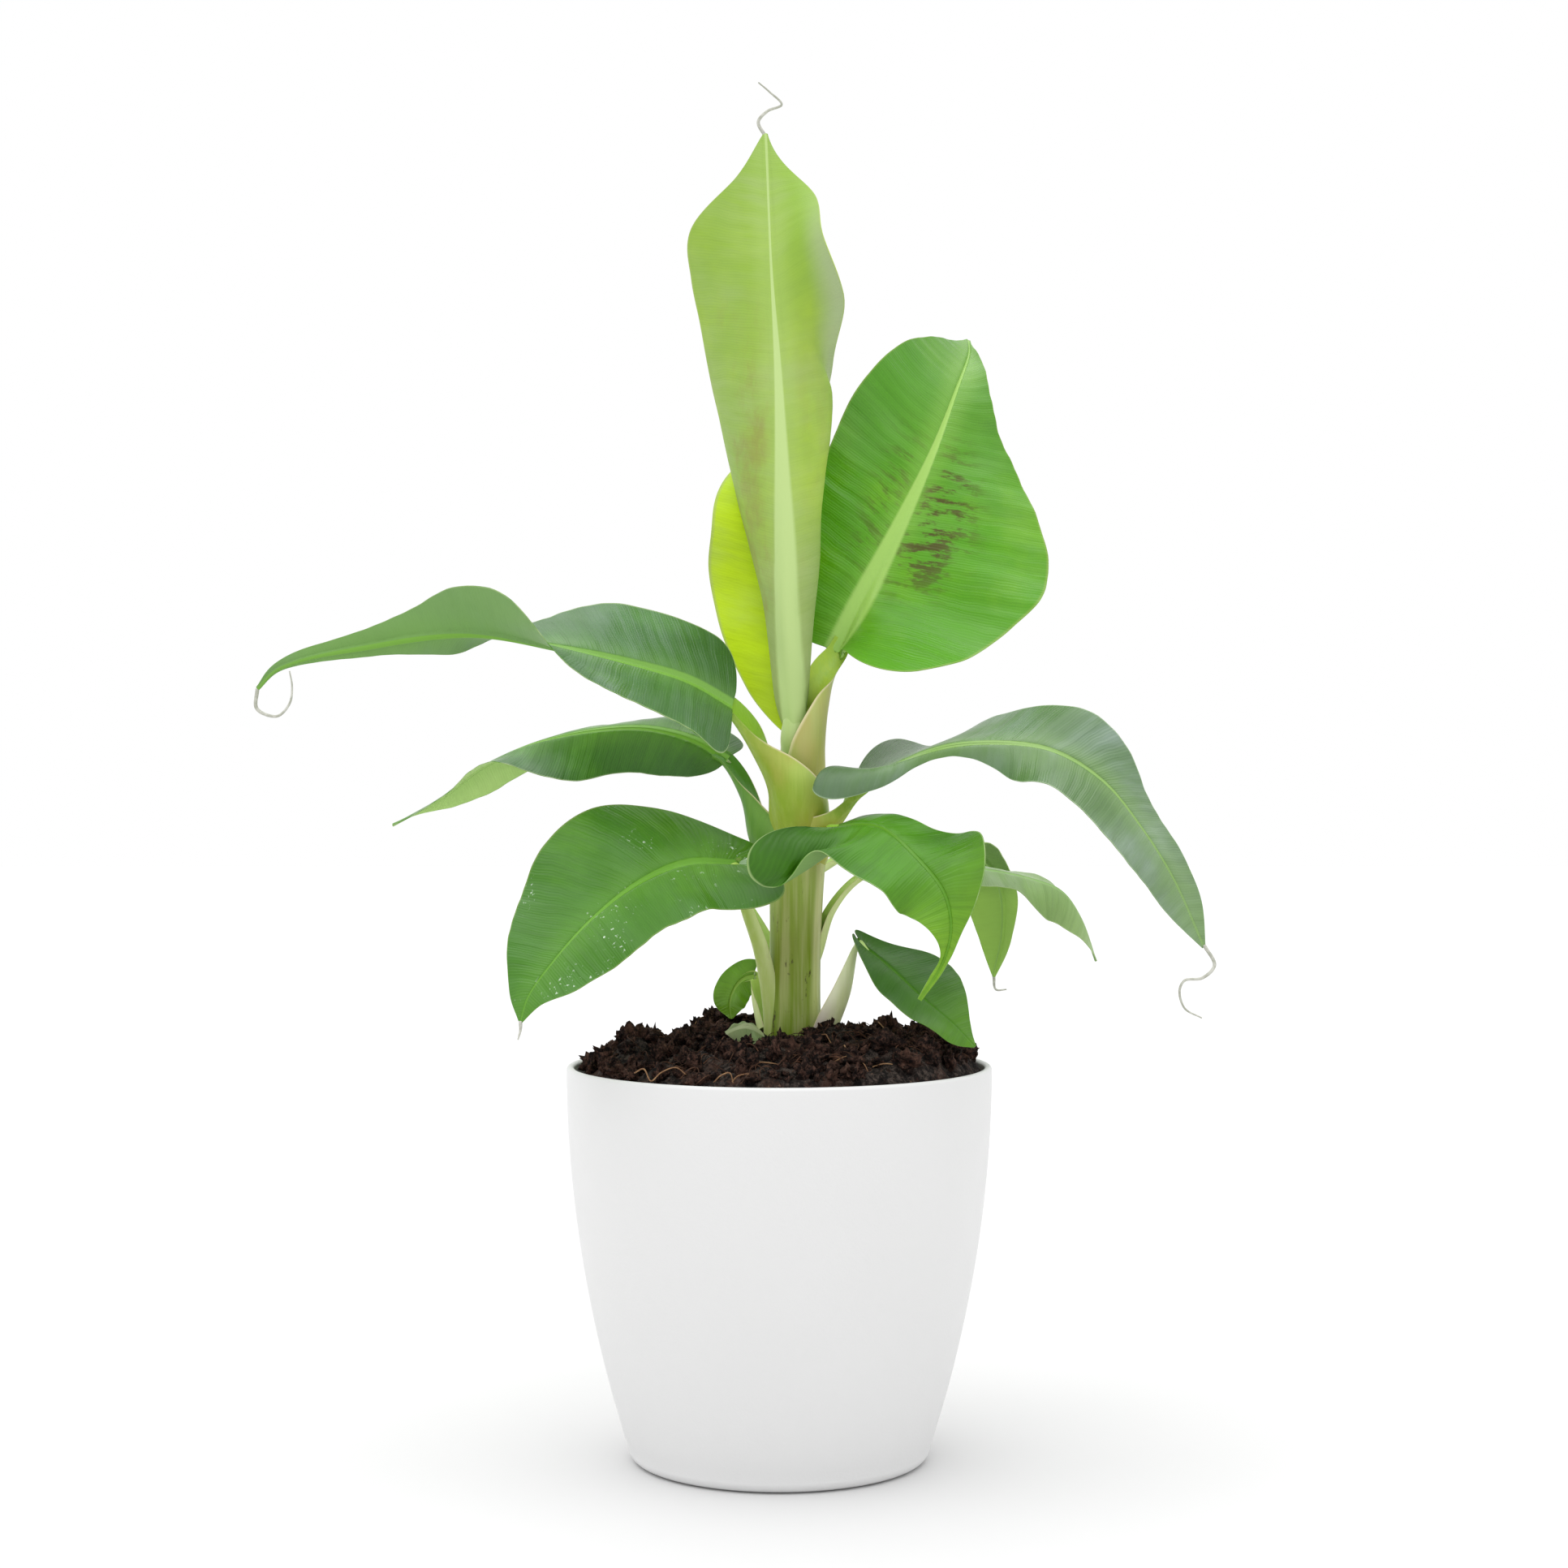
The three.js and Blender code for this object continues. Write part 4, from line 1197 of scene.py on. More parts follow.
@dataclass(frozen=True)
class StemFinish:
    """The waxy skin of the stem and of the leaf stalks.

    Attributes:
        name: Start of the materials' names.
        green: Its main colour.
        pale: The colour of its streaks and paler side.
        inside: The colour of a stalk's open side.
        rise: The colour that it takes towards its top.
        flush: The pink-brown or purple that it takes in places.
        blush: How strong that is.
        tinge: How strong the flush is at the foot.
        margin: The colour of a sheath's thin dry margins.
        specks: Strength of small brown specks and scars.
        scar: The colour of those.
    """

    name: str
    green: Colour
    pale: Colour
    inside: Colour = (0.4, 0.55, 0.08)
    rise: Colour = (0.32, 0.46, 0.06)
    flush: Colour = (0.36, 0.2, 0.1)
    blush: float = 0.3
    tinge: float = 0.0
    margin: Colour = (0.74, 0.66, 0.4)
    specks: float = 0.0
    scar: Colour = (0.05, 0.03, 0.01)

    def materials(self) -> list[bpy.types.Material]:
        """The materials of the outside and of a stalk's open side."""
        return [self._skin(False), self._skin(True)]

    def _skin(self, open_side: bool) -> bpy.types.Material:
        """The material of one side, streaked lengthwise.

        Args:
            open_side: Whether it is the inner, open side.

        Returns:
            The material.
        """
        paint = Shading(f"{self.name}_{'inside' if open_side else 'outside'}", 0.42, 0.25)
        green, pale = (self.inside, self.inside) if open_side else (self.green, self.pale)
        across, along = paint.uv("share")
        reach = paint.off_middle(across)
        colour = paint.mix(paint.times(paint.step(along, 0.25, 0.85), 0.75), green, self.rise)
        streak = paint.noise(330, 3, 0.6, stretch=(1, 1, 0.045))
        colour = paint.mix(paint.times(paint.step(streak, 0.35, 0.75), 0.55), colour, pale)
        band = paint.times(paint.step(reach, 0.3, 0.85), paint.step(along, 0.5, 0.85, (0.7, 0.15)))
        colour = paint.mix(band, colour, tuple(min(1.0, c * 1.1 + 0.06) for c in pale))
        blush = paint.times(
            paint.step(paint.noise(22, 3, 0.6, stretch=(1, 1, 0.5)), 0.45, 0.7),
            paint.step(along, 0.9, 0.62, (0.1, 1.0)),
            0.15 * self.blush if open_side else self.blush,
        )
        foot = paint.times(
            paint.step(along, 0.6, 0.15), paint.step(reach, 0.1, 0.7), self.tinge
        )
        colour = paint.mix(paint.math("MAXIMUM", blush, foot), colour, self.flush)
        edge = paint.times(
            paint.step(reach, 0.93, 0.99), paint.step(along, 0.68, 0.85, (0.85, 0.1))
        )
        colour = paint.mix(edge, colour, self.margin)
        if self.specks:
            colour = self._scarred(paint, along, colour)
        paint.into("Base Color", colour)
        ribs = paint.noise(700, 2, 0.5, stretch=(1, 1, 0.02))
        paint.bump(paint.plus(ribs, paint.times(streak, 0.6)), 0.00025)
        return paint.material

    def _scarred(
        self, paint: Shading, along: bpy.types.NodeSocket, colour: bpy.types.NodeSocket
    ) -> bpy.types.NodeSocket:
        """Adds small brown specks and scars, most of them low down.

        Args:
            paint: The material.
            along: Share of the length from the foot.
            colour: The colour below.

        Returns:
            The colour with the specks.
        """
        share = paint.times(
            paint.step(paint.noise(240, 4, 0.7, stretch=(1, 1, 0.4)), 0.6, 0.7),
            paint.step(paint.noise(38, 3, 0.6, stretch=(1, 1, 0.3)), 0.38, 0.56),
            paint.step(along, 0.75, 0.2), self.specks,
        )
        return paint.mix(share, colour, self.scar)


@dataclass(frozen=True)
class PlasticFinish:
    """The pot's smooth white moulded plastic.

    Attributes:
        name: The material's name.
        colour: Its colour.
    """

    name: str = "pot_plastic"
    colour: Colour = (0.75, 0.75, 0.75)

    def material(self) -> bpy.types.Material:
        """White plastic with the faint grain of the mould.

        Returns:
            The material.
        """
        paint = Shading(self.name, 0.42, 0.5)
        tint = paint.step(paint.noise(9, 3, 0.5), 0.3, 0.7)
        dull = tuple(c * 0.985 for c in self.colour)
        paint.into("Base Color", paint.mix(tint, dull, self.colour))
        paint.into("Roughness", paint.step(paint.noise(60, 4, 0.6), 0.3, 0.7, (0.38, 0.47)))
        paint.bump(paint.plus(paint.noise(900, 2), paint.times(paint.noise(20, 2), 0.6)), 0.00006)
        return paint.material


@dataclass(frozen=True)
class SoilFinish:
    """Moist dark potting soil, and the crumbs in it.

    Attributes:
        name: The material's name.
        dark: The colour of its wet hollows.
        light: The colour of its drier crumbs.
        russet: The colour of its peat.
        fleck: The colour of its small bits of bark.
        crumb: Depth of its grain.
    """

    name: str
    dark: Colour = (0.009, 0.0075, 0.007)
    light: Colour = (0.12, 0.092, 0.078)
    russet: Colour = (0.12, 0.058, 0.04)
    fleck: Colour = (0.26, 0.15, 0.1)
    crumb: float = 1.0

    def material(self) -> bpy.types.Material:
        """Lays the colours over one another, grained at the size of crumbs.

        Returns:
            The material.
        """
        paint = Shading(self.name, 0.85, 0.12)
        colour = paint.mix(paint.step(paint.noise(330, 7, 0.8), 0.44, 0.66), self.dark, self.light)
        peat = paint.times(paint.step(paint.noise(75, 5, 0.75), 0.5, 0.66), 0.5)
        colour = paint.mix(peat, colour, self.russet)
        bark = paint.times(paint.step(paint.noise(520, 4, 0.7), 0.62, 0.7), 0.6)
        paint.into("Base Color", paint.mix(bark, colour, self.fleck))
        height = paint.plus(paint.noise(420, 5, 0.7), paint.times(paint.noise(150, 5, 0.7), 1.6))
        paint.bump(height, 0.0028 * self.crumb)
        return paint.material


@dataclass(frozen=True)
class FibreFinish:
    """Dry root fibres and leaf threads.

    Attributes:
        name: The material's name.
        colour: Its lighter colour.
        shade: Its darker colour.
    """

    name: str
    colour: Colour
    shade: Colour

    def material(self) -> bpy.types.Material:
        """The two colours in bands along the thread.

        Returns:
            The material.
        """
        paint = Shading(self.name, 0.7, 0.2)
        band = paint.step(paint.noise(300, 3, 0.6), 0.35, 0.7)
        paint.into("Base Color", paint.mix(band, self.shade, self.colour))
        paint.bump(paint.noise(900, 2), 0.0002)
        return paint.material


STALK_FINISHES: dict[Skin, StemFinish] = {
    Skin.GREEN: StemFinish(
        "green_stalk", (0.32, 0.44, 0.04), (0.41, 0.53, 0.09), inside=(0.24, 0.44, 0.025),
        rise=(0.22, 0.44, 0.03), flush=(0.44, 0.27, 0.05), blush=0.6,
    ),
    Skin.DARK: StemFinish(
        "dark_stalk", (0.08, 0.23, 0.012), (0.13, 0.3, 0.02), inside=(0.07, 0.22, 0.015),
        rise=(0.07, 0.23, 0.01), blush=0.1,
    ),
    # partly painted light: the real pale yellow-green is lifted further to offset the shade on the
    # low stalks
    Skin.PALE: StemFinish(
        "pale_stalk", (0.52, 0.66, 0.17), (0.66, 0.74, 0.34), inside=(0.42, 0.6, 0.13),
        rise=(0.46, 0.64, 0.12), flush=(0.44, 0.38, 0.2), blush=0.15, specks=0.2,
    ),
    # partly painted light: the stalk's real pale colours are pushed near white to offset the front
    # leaf's shade on it
    Skin.ASHEN: StemFinish(
        "ashen_stalk", (0.82, 0.88, 0.44), (0.9, 0.94, 0.66), inside=(0.74, 0.88, 0.4),
        rise=(0.7, 0.92, 0.3), flush=(0.36, 0.22, 0.28), blush=0.3, tinge=0.8, specks=0.4,
    ),
    # painted light: the inside is lighter than the outside, to offset the shade in the sheath's
    # deep channel
    Skin.FLUSHED: StemFinish(
        "flushed_stalk", (0.36, 0.44, 0.07), (0.38, 0.42, 0.13), inside=(0.46, 0.6, 0.05),
        rise=(0.34, 0.54, 0.09), flush=(0.5, 0.31, 0.08), blush=0.75,
    ),
}


LEAF_FINISHES: dict[Tone, LeafFinish] = {
    # painted light: the young leaf's bright yellow-green upper side stands in for light shining
    # through the thin leaf
    Tone.YOUNG: LeafFinish(
        "young_leaf", dark=(0.52, 0.74, 0.01), light=(0.56, 0.78, 0.015), rib=(0.52, 0.68, 0.27),
        under=(0.27, 0.43, 0.07), edge=(0.4, 0.5, 0.16), tip=(0.22, 0.42, 0.03),
        tip_under=0.6, foot=(0.3, 0.36, 0.16), flush=0.5, blotch=0.35, mark=(0.5, 0.26, 0.01),
        blush=0.5, bloom_and_sheen=0.4, margin_sheen=0.55, wax_and_sheen=(0.42, 0.52, 0.25), gloss=0.12, roughness=0.5,
        rib_halves=(8.2, 0.5),
    ),
    Tone.FRESH: LeafFinish(
        "fresh_leaf", dark=(0.085, 0.32, 0.004), light=(0.15, 0.4, 0.008), rib=(0.38, 0.62, 0.14),
        under=(0.17, 0.36, 0.07), edge=(0.26, 0.4, 0.08), tip=(0.09, 0.22, 0.055), flush=0.45,
        blotch=0.9, mark=(0.075, 0.055, 0.01), bloom_and_sheen=0.5, wax_and_sheen=(0.2, 0.4, 0.11), gloss=0.28,
        roughness=0.34, rib_halves=(6.2, 0.6), shade=0.08,
    ),
    Tone.BRIGHT: LeafFinish(
        "bright_leaf", dark=(0.037, 0.15, 0.002), light=(0.066, 0.245, 0.002),
        rib=(0.09, 0.26, 0.01), under=(0.22, 0.38, 0.12), edge=(0.36, 0.5, 0.2),
        tip=(0.3, 0.52, 0.03), flush=0.55,
        bloom_and_sheen=0.12, wax_and_sheen=(0.13, 0.26, 0.08), gloss=0.27, roughness=0.4, rib_halves=(1.3, 0.6),
    ),
    Tone.MATURE: LeafFinish(
        "mature_leaf", dark=(0.034, 0.135, 0.011), light=(0.068, 0.23, 0.012),
        rib=(0.18, 0.4, 0.05), under=(0.19, 0.35, 0.11), edge=(0.36, 0.48, 0.22),
        tip=(0.12, 0.26, 0.06), flush=0.4,
        bloom_and_sheen=0.5, wax_and_sheen=(0.19, 0.29, 0.23), gloss=0.45, roughness=0.32,
    ),
    # painted sheen: this leaf's grey-green look comes mostly from its strong bloom, which paints
    # the sheen on it
    Tone.WAXY: LeafFinish(
        "waxy_leaf", dark=(0.065, 0.16, 0.035), light=(0.11, 0.23, 0.05), rib=(0.24, 0.42, 0.1),
        under=(0.2, 0.33, 0.14), edge=(0.36, 0.48, 0.28), tip=(0.17, 0.27, 0.12), flush=0.4,
        bloom_and_sheen=0.9, wax_and_sheen=(0.3, 0.38, 0.35), gloss=0.45, roughness=0.34, rib_halves=(2.4, 0.7),
    ),
    Tone.DARK: LeafFinish(
        "dark_leaf", dark=(0.026, 0.12, 0.003), light=(0.08, 0.25, 0.006), rib=(0.16, 0.38, 0.03),
        under=(0.5, 0.74, 0.24), edge=(0.4, 0.5, 0.26), tip=(0.04, 0.15, 0.01), flush=0.4,
        bloom_and_sheen=0.25, wax_and_sheen=(0.14, 0.26, 0.18), gloss=0.36, roughness=0.34, rib_halves=(2.6, 0.8),
    ),
    Tone.DEEP: LeafFinish(
        "deep_leaf", dark=(0.048, 0.18, 0.004), light=(0.085, 0.26, 0.006), rib=(0.15, 0.38, 0.03),
        under=(0.13, 0.27, 0.06), edge=(0.22, 0.32, 0.08), tip=(0.05, 0.19, 0.004), flush=0.4,
        specks=0.85, bloom_and_sheen=0.14, wax_and_sheen=(0.16, 0.3, 0.16), gloss=0.3, roughness=0.36,
        rib_halves=(2.4, 0.5),
    ),
    Tone.SHADED: LeafFinish(
        "shaded_leaf", dark=(0.034, 0.13, 0.004), light=(0.06, 0.19, 0.008), rib=(0.07, 0.22, 0.01),
        under=(0.28, 0.4, 0.17), edge=(0.2, 0.34, 0.08), tip=(0.14, 0.34, 0.008), flush=0.4,
        bloom_and_sheen=0.1, gloss=0.22, roughness=0.4, rib_halves=(1.2, 0.5),
    ),
    Tone.PALE: LeafFinish(
        "pale_leaf", dark=(0.16, 0.29, 0.06), light=(0.25, 0.43, 0.07), rib=(0.24, 0.44, 0.1),
        under=(0.36, 0.62, 0.11), edge=(0.4, 0.52, 0.24), tip=(0.3, 0.5, 0.1),
        foot=(0.01, 0.09, 0.005), foot_span=(0.77, 0.62), flush=0.5, bloom_and_sheen=0.2,
        wax_and_sheen=(0.36, 0.44, 0.27), gloss=0.28, roughness=0.4, rib_halves=(1.8, 0.6),
    ),
    Tone.FROSTED: LeafFinish(
        "frosted_leaf", dark=(0.14, 0.26, 0.06), light=(0.22, 0.38, 0.1), rib=(0.24, 0.44, 0.12),
        under=(0.3, 0.45, 0.2), edge=(0.4, 0.52, 0.24), tip=(0.28, 0.42, 0.14), flush=0.5,
        bloom_and_sheen=0.9, wax_and_sheen=(0.4, 0.46, 0.36), gloss=0.28, roughness=0.4, rib_halves=(1.8, 0.6),
    ),
    Tone.LIME: LeafFinish(
        "lime_leaf", dark=(0.09, 0.26, 0.001), light=(0.16, 0.38, 0.003), rib=(0.26, 0.46, 0.05),
        under=(0.24, 0.38, 0.1), edge=(0.36, 0.48, 0.2), tip=(0.16, 0.36, 0.01), flush=0.5,
        gloss=0.25, roughness=0.4, rib_halves=(1.0, 0.5),
    ),
}


REMNANT_FINISH = LeafFinish(
    "torn_leaf", dark=(0.15, 0.23, 0.08), light=(0.24, 0.33, 0.14), rib=(0.45, 0.5, 0.3),
    under=(0.2, 0.32, 0.12), edge=(0.5, 0.54, 0.36), tip=(0.2, 0.24, 0.09), gloss=0.2, shade=0.0,
)


# --- leaves
class Blade:
    """A leaf blade: two skins with a groove above and a ridge below along the midrib."""

    COLUMNS = 56
    SHOULDER = 0.08  # share of the length over which the foot opens
    RIPPLES = 3.5  # waves of the margin
    LEAST = 0.9  # least half width, in mm
    THICKNESS = 0.55  # mm
    STEPS = 24  # steps in which a section's curve is added up
    PROBE = 1.5e-3  # share between the places that a slope is read from

    def __init__(self, form: LeafForm, look: LeafLook, seed: int) -> None:
        """Sets the blade up.

        Args:
            form: Its shape.
            look: What it has besides.
            seed: Start of its random waves.
        """
        self.form = form
        self.look = look
        self.spine = Spine(form.midrib, form.face, form.roll)
        self.phase = np.random.default_rng(seed).uniform(0, 2 * math.pi, 8)

    def _opening(self, t: np.ndarray) -> np.ndarray:
        """How far the foot has opened, from 0 at the stalk to 1 where the shoulder ends."""
        return 1 - (1 - np.minimum(t / self.SHOULDER, 1)) ** 2

    def _section(self, half: HalfForm, t: np.ndarray, reach: np.ndarray) -> tuple[np.ndarray, ...]:
        """Follows the sections of one half from the midrib outwards.

        Args:
            half: The half.
            t: Places along, from 0 to 1.
            reach: Places across, from 0 at the midrib to 1 at the margin.

        Returns:
            How far out and up the places lie, and the half's width there, in mm.
        """
        rise, curl = np.radians(station(half.rise, t)), np.radians(station(half.curl, t))
        width = np.maximum(0, station(half.widths, t)) * np.sqrt(self._opening(t))
        share = (np.arange(self.STEPS) + 0.5)[:, None] / self.STEPS * reach
        angle = rise + curl * np.minimum(1, share / half.turn_end)
        return np.cos(angle).mean(0) * width * reach, np.sin(angle).mean(0) * width * reach, width

    def _middle(self, u: np.ndarray, t: np.ndarray) -> tuple[np.ndarray, np.ndarray]:
        """The blade's middle surface.

        Args:
            u: Across, from -1 at the left margin to 1 at the right.
            t: Along, from 0 at the foot to 1 at the tip.

        Returns:
            Points in mm and the distance from the midrib in mm, signed.
        """
        point, along, face, right = self.spine.at(t)
        reach, side = np.abs(u), np.where(u < 0, -1.0, 1.0)
        left_half = self._section(self.form.left, t, reach)
        right_half = self._section(self.form.right, t, reach)
        out, up, width = (np.where(u < 0, a, b) for a, b in zip(left_half, right_half))
        lobe = np.where(u < 0, self.form.left.lobe, self.form.right.lobe)
        beat = 2 * math.pi * (self.RIPPLES * t + np.where(u < 0, 0.2, 0.6))
        up = up + self.form.ripple * reach**2 * np.sin(math.pi * t) * np.sin(beat)
        up = up + self._pleats(u, t, width)
        point = point + right * (side * (out + reach * self.LEAST))[:, None]
        point = point + face * up[:, None]
        point = point - along * (lobe * reach**1.5 * (1 - t) ** 6 * self._opening(t))[:, None]
        return point, side * reach * (width + self.LEAST)

    def _pleats(self, u: np.ndarray, t: np.ndarray, width: np.ndarray) -> np.ndarray:
        """Low waves along the veins, 8 and 21 mm long, and longer ones over the whole blade.

        Args:
            u: Across, from -1 to 1.
            t: Along, from 0 to 1.
            width: The half's width in mm.

        Returns:
            Their heights in mm.
        """
        reach = np.abs(u)
        run = t * self.spine.length - VeinMap.LEAN * reach * width
        p = self.phase
        soft = np.sin(math.pi * np.clip(t, 0, 1)) * np.minimum(reach * 3, 1)
        beat = np.sin(run / 31 + p[5] + u * 2.6)
        wave = 0.13 * np.sin(run / 8.3 * 2 * math.pi + p[0] + 1.3 * beat) * beat * reach
        wave += 0.2 * np.sin(run / 21 * 2 * math.pi + p[1] + u * 2.0) * reach
        wave *= self.look.pleats
        wave += 0.55 * np.sin(run / 47 * 2 * math.pi + p[2] + u * 3.1) * reach
        wave += 0.3 * np.sin(u * 5.0 + p[3]) * np.sin(t * 9 + p[4])
        return wave * soft

    def _normal(self, u: np.ndarray, t: np.ndarray) -> np.ndarray:
        """The way that the middle surface looks.

        Args:
            u: Across, from -1 to 1.
            t: Along, from 0 to 1.

        Returns:
            Unit vectors towards the upper side, (n, 3).
        """
        step = self.PROBE
        u, t = np.clip(u, -1 + step, 1 - step), np.clip(t, step, 1 - step)
        down = self._middle(u, t + step)[0] - self._middle(u, t - step)[0]
        over = self._middle(u + step, t)[0] - self._middle(u - step, t)[0]
        normal = np.cross(over, down)
        return normal / np.maximum(np.linalg.norm(normal, axis=1, keepdims=True), 1e-9)

    def _skin(
        self, upper: bool, across: np.ndarray, even: np.ndarray
    ) -> tuple[np.ndarray, np.ndarray]:
        """Lays one skin, with rows closer together by the midrib, the foot and the tip.

        Args:
            upper: Whether it is the upper one.
            across: Even places across, from -1 to 1.
            even: Even places along, from 0 to 1.

        Returns:
            Points in mm, and their maps.
        """
        u = np.sign(across) * np.abs(across) ** 1.5
        t = even - 0.09 * np.sin(2 * math.pi * even)
        point, distance = self._middle(u, t)
        rib = self.form.rib[0] + (self.form.rib[1] - self.form.rib[0]) * t
        d = np.abs(distance)
        thin = self.THICKNESS * (1 - 0.45 * np.abs(u))
        if upper:
            groove = 0.16 * rib * np.exp(-((d / (rib * 0.33)) ** 2))
            offset = thin / 2 - groove
        else:
            bulge = np.sqrt(np.maximum(0, 1 - (d / (rib * 0.52 * self.look.broad)) ** 2))
            offset = -thin / 2 - 0.42 * rib / self.look.broad**2 * bulge
        lengths = (distance / MAP_UNIT, t * self.spine.length / MAP_UNIT)
        maps = np.stack([u / 2 + 0.5, t, *lengths], 1)
        return point + self._normal(u, t) * offset[:, None], maps

    def build(self, finish: LeafFinish, slot: str, replaces: Sequence[str]) -> None:
        """Makes the blade.

        Args:
            finish: Its colours.
            slot: The record's material slot.
            replaces: The CAD nodes that it stands for.
        """
        maker = MeshMaker()
        rows = self.look.rows
        maker.sheet(self.COLUMNS, rows, partial(self._skin, True), Side.UPPER.value)
        maker.sheet(self.COLUMNS, rows, partial(self._skin, False), Side.UNDER.value, flip=True)
        maker.bridge(Side.EDGE.value)
        name = f"{self.form.name}_leaf"
        maker.finish(name, finish.materials(), slot, replaces, sharp=75)


@dataclass
class Stem:
    """The false stem of rolled leaf sheaths.

    Attributes:
        places: The line of its middle, in mm.
        radii: Its radii from the soil to its mouth, in mm.
        pale_side: Where its pale streak runs, in radians from its back.
        laps: Where one sheath overlaps the next and how far that leans, in radians, and the
            height of the step in mm.
        spine: The line as a curve.
    """

    places: tuple[Triple, ...] = ((6.0, 0, 174), (7.3, 0, 236), (9.8, 1.5, 303))
    radii: tuple[float, ...] = (12.6, 11.4, 11.2, 11.5, 12.2, 13.2, 11.0, 7.5)
    pale_side: float = -2.05
    laps: tuple[Triple, ...] = ((0.9, 0.5, 0.5), (-2.2, -0.4, 0.3), (2.6, 0.2, 0.22))
    spine: Spine = field(init=False)

    def __post_init__(self) -> None:
        """Lays its line."""
        self.spine = Spine(self.places, (0.1, 1, 0.2))

    def axis(self, z: float) -> np.ndarray:
        """The middle of the stem at a height."""
        along = np.interp(z, self.spine.points[:, 2], np.linspace(0, 1, Spine.SAMPLES + 1))
        return self.spine.at(np.array([along]))[0][0]

    @staticmethod
    def _round_from(angle: np.ndarray, start: float, lean: np.ndarray) -> np.ndarray:
        """How far round from a leaning line places lie, from minus to plus half a turn."""
        return (angle - start - lean + math.pi) % (2 * math.pi) - math.pi

    def _skin(self, across: np.ndarray, along: np.ndarray) -> tuple[np.ndarray, np.ndarray]:
        """Lays the stem, faintly fluted where one sheath overlaps the next.

        Args:
            across: Places round it, from -1 to 1.
            along: Places along it, from 0 to 1.

        Returns:
            Points in mm, and their maps.
        """
        point, _, face, right = self.spine.at(along)
        angle = across * math.pi
        radius = station(self.radii, along) - 0.5
        for start, lean, height in self.laps:
            off = self._round_from(angle, start, lean * (along - 0.5))
            lap = np.where(off > 0, np.exp(-off / 0.5), -0.2 * np.exp(off / 0.2))
            radius = radius + height * lap
        radius = radius + 0.2 * np.sin(3 * angle + 4 * along)
        out = np.cos(angle)[:, None] * face + np.sin(angle)[:, None] * right
        off = self._round_from(angle, self.pale_side, 0.25 * (along - 0.3))
        pale = 0.5 + 0.42 * np.exp(-((off / 0.42) ** 2))
        lengths = (angle * radius / MAP_UNIT, along * self.spine.length / MAP_UNIT)
        return point + radius[:, None] * out, np.stack([pale, along, *lengths], 1)

    def build(self, finish: StemFinish) -> None:
        """Makes the stem.

        Args:
            finish: Its skin.
        """
        maker = MeshMaker()
        verts = maker.sheet(128, 120, self._skin)
        bmesh.ops.remove_doubles(maker.bm, verts=verts, dist=WELD)
        maker.close_holes()
        bmesh.ops.recalc_face_normals(maker.bm, faces=maker.bm.faces)
        maker.finish("stem_column", finish.materials(), "stem", ("stem",), sharp=70)


class Stalk:
    """A leaf stalk with a shallow channel, which opens downwards into a sheath round the stem."""

    WALL = 1.8  # mm
    OVERLAP = 6.0  # how far it reaches into the blade, in mm

    def __init__(self, form: LeafForm, look: LeafLook, stem: Stem) -> None:
        """Lays its line.

        Args:
            form: The shape of its leaf.
            look: What that leaf has besides.
            stem: The stem that it leaves.
        """
        self.form, self.look = form, look
        path = [np.asarray(p, float) for p in form.stalk]
        foot = np.asarray(form.midrib[0], float)
        into = np.asarray(form.midrib[1], float) - foot
        end = foot + into / np.linalg.norm(into) * self.OVERLAP
        places = [*(stem.axis(z) for z in look.sheath), *path, foot, end]
        away = foot - stem.axis(path[0][2])
        angle = math.atan2(away[1], away[0]) + math.radians(look.turn)
        outward = (math.cos(angle), math.sin(angle), 0.0)
        self.spine = Spine([tuple(p) for p in places], outward)
        self._match_roll()

    def _match_roll(self) -> None:
        """Turns the stalk so that its open side meets the blade's upper side."""
        blade = Spine(self.form.midrib, self.form.face, self.form.roll)
        _, _, face, _ = blade.at(np.array([0.03]))
        _, along, mine, right = self.spine.at(np.array([1.0]))
        want = -face[0]
        want = want - want @ along[0] * along[0]
        turn = math.degrees(math.atan2(want @ right[0], want @ mine[0]))
        turn = (turn + 180) % 360 - 180
        self.spine.roll = (0.0, 0.0, 0.05 * turn, 0.3 * turn, 0.85 * turn, turn)

    def _shell(
        self, inner: bool, turn: np.ndarray, along: np.ndarray
    ) -> tuple[np.ndarray, np.ndarray]:
        """Lays the outside of the shell, or its open inner side.

        The inner side follows the outside where the sheath hugs the stem, and is a shallow
        channel where the stalk stands free.

        Args:
            inner: Whether it is the inner side.
            turn: Places round it, from -1 at one margin to 1 at the other.
            along: Places along it, from 0 to 1.

        Returns:
            Points in mm, and their maps.
        """
        point, _, face, right = self.spine.at(along)
        radius = station(self.look.girth, along)
        widest = np.radians(station(self.look.spread, along))
        angle = turn * widest * np.where(turn > 0, self.look.hind, 1)
        out, over = radius * np.cos(angle), radius * np.sin(angle)
        if inner:
            wall = self.WALL * (0.15 + 0.85 * np.abs(np.cos(turn * math.pi / 2)) ** 0.7)
            inside = radius - np.minimum(wall, radius * 0.8)
            fill = np.clip((140 - np.degrees(widest)) / 40, 0, 1)
            floor = radius * np.cos(widest) + 0.3 * radius * (1 - turn**2)
            out = inside * np.cos(angle) * (1 - fill) + floor * fill
            over = inside * np.sin(angle) * (1 - fill) + radius * np.sin(widest) * turn * fill
        point = point + out[:, None] * face + over[:, None] * right
        lengths = (angle * radius / MAP_UNIT, along * self.spine.length / MAP_UNIT)
        return point, np.stack([turn / 2 + 0.5, along, *lengths], 1)

    def build(self, finish: StemFinish, replaces: Sequence[str]) -> None:
        """Makes the stalk and its sheath as one shell.

        Args:
            finish: Its skin.
            replaces: The CAD nodes that it stands for.
        """
        maker = MeshMaker()
        maker.sheet(40, 110, partial(self._shell, False), 0)
        maker.sheet(40, 110, partial(self._shell, True), 1, flip=True)
        maker.bridge(1)
        name = f"{self.form.name}_sheath"
        maker.finish(name, finish.materials(), "stem", replaces, sharp=60)


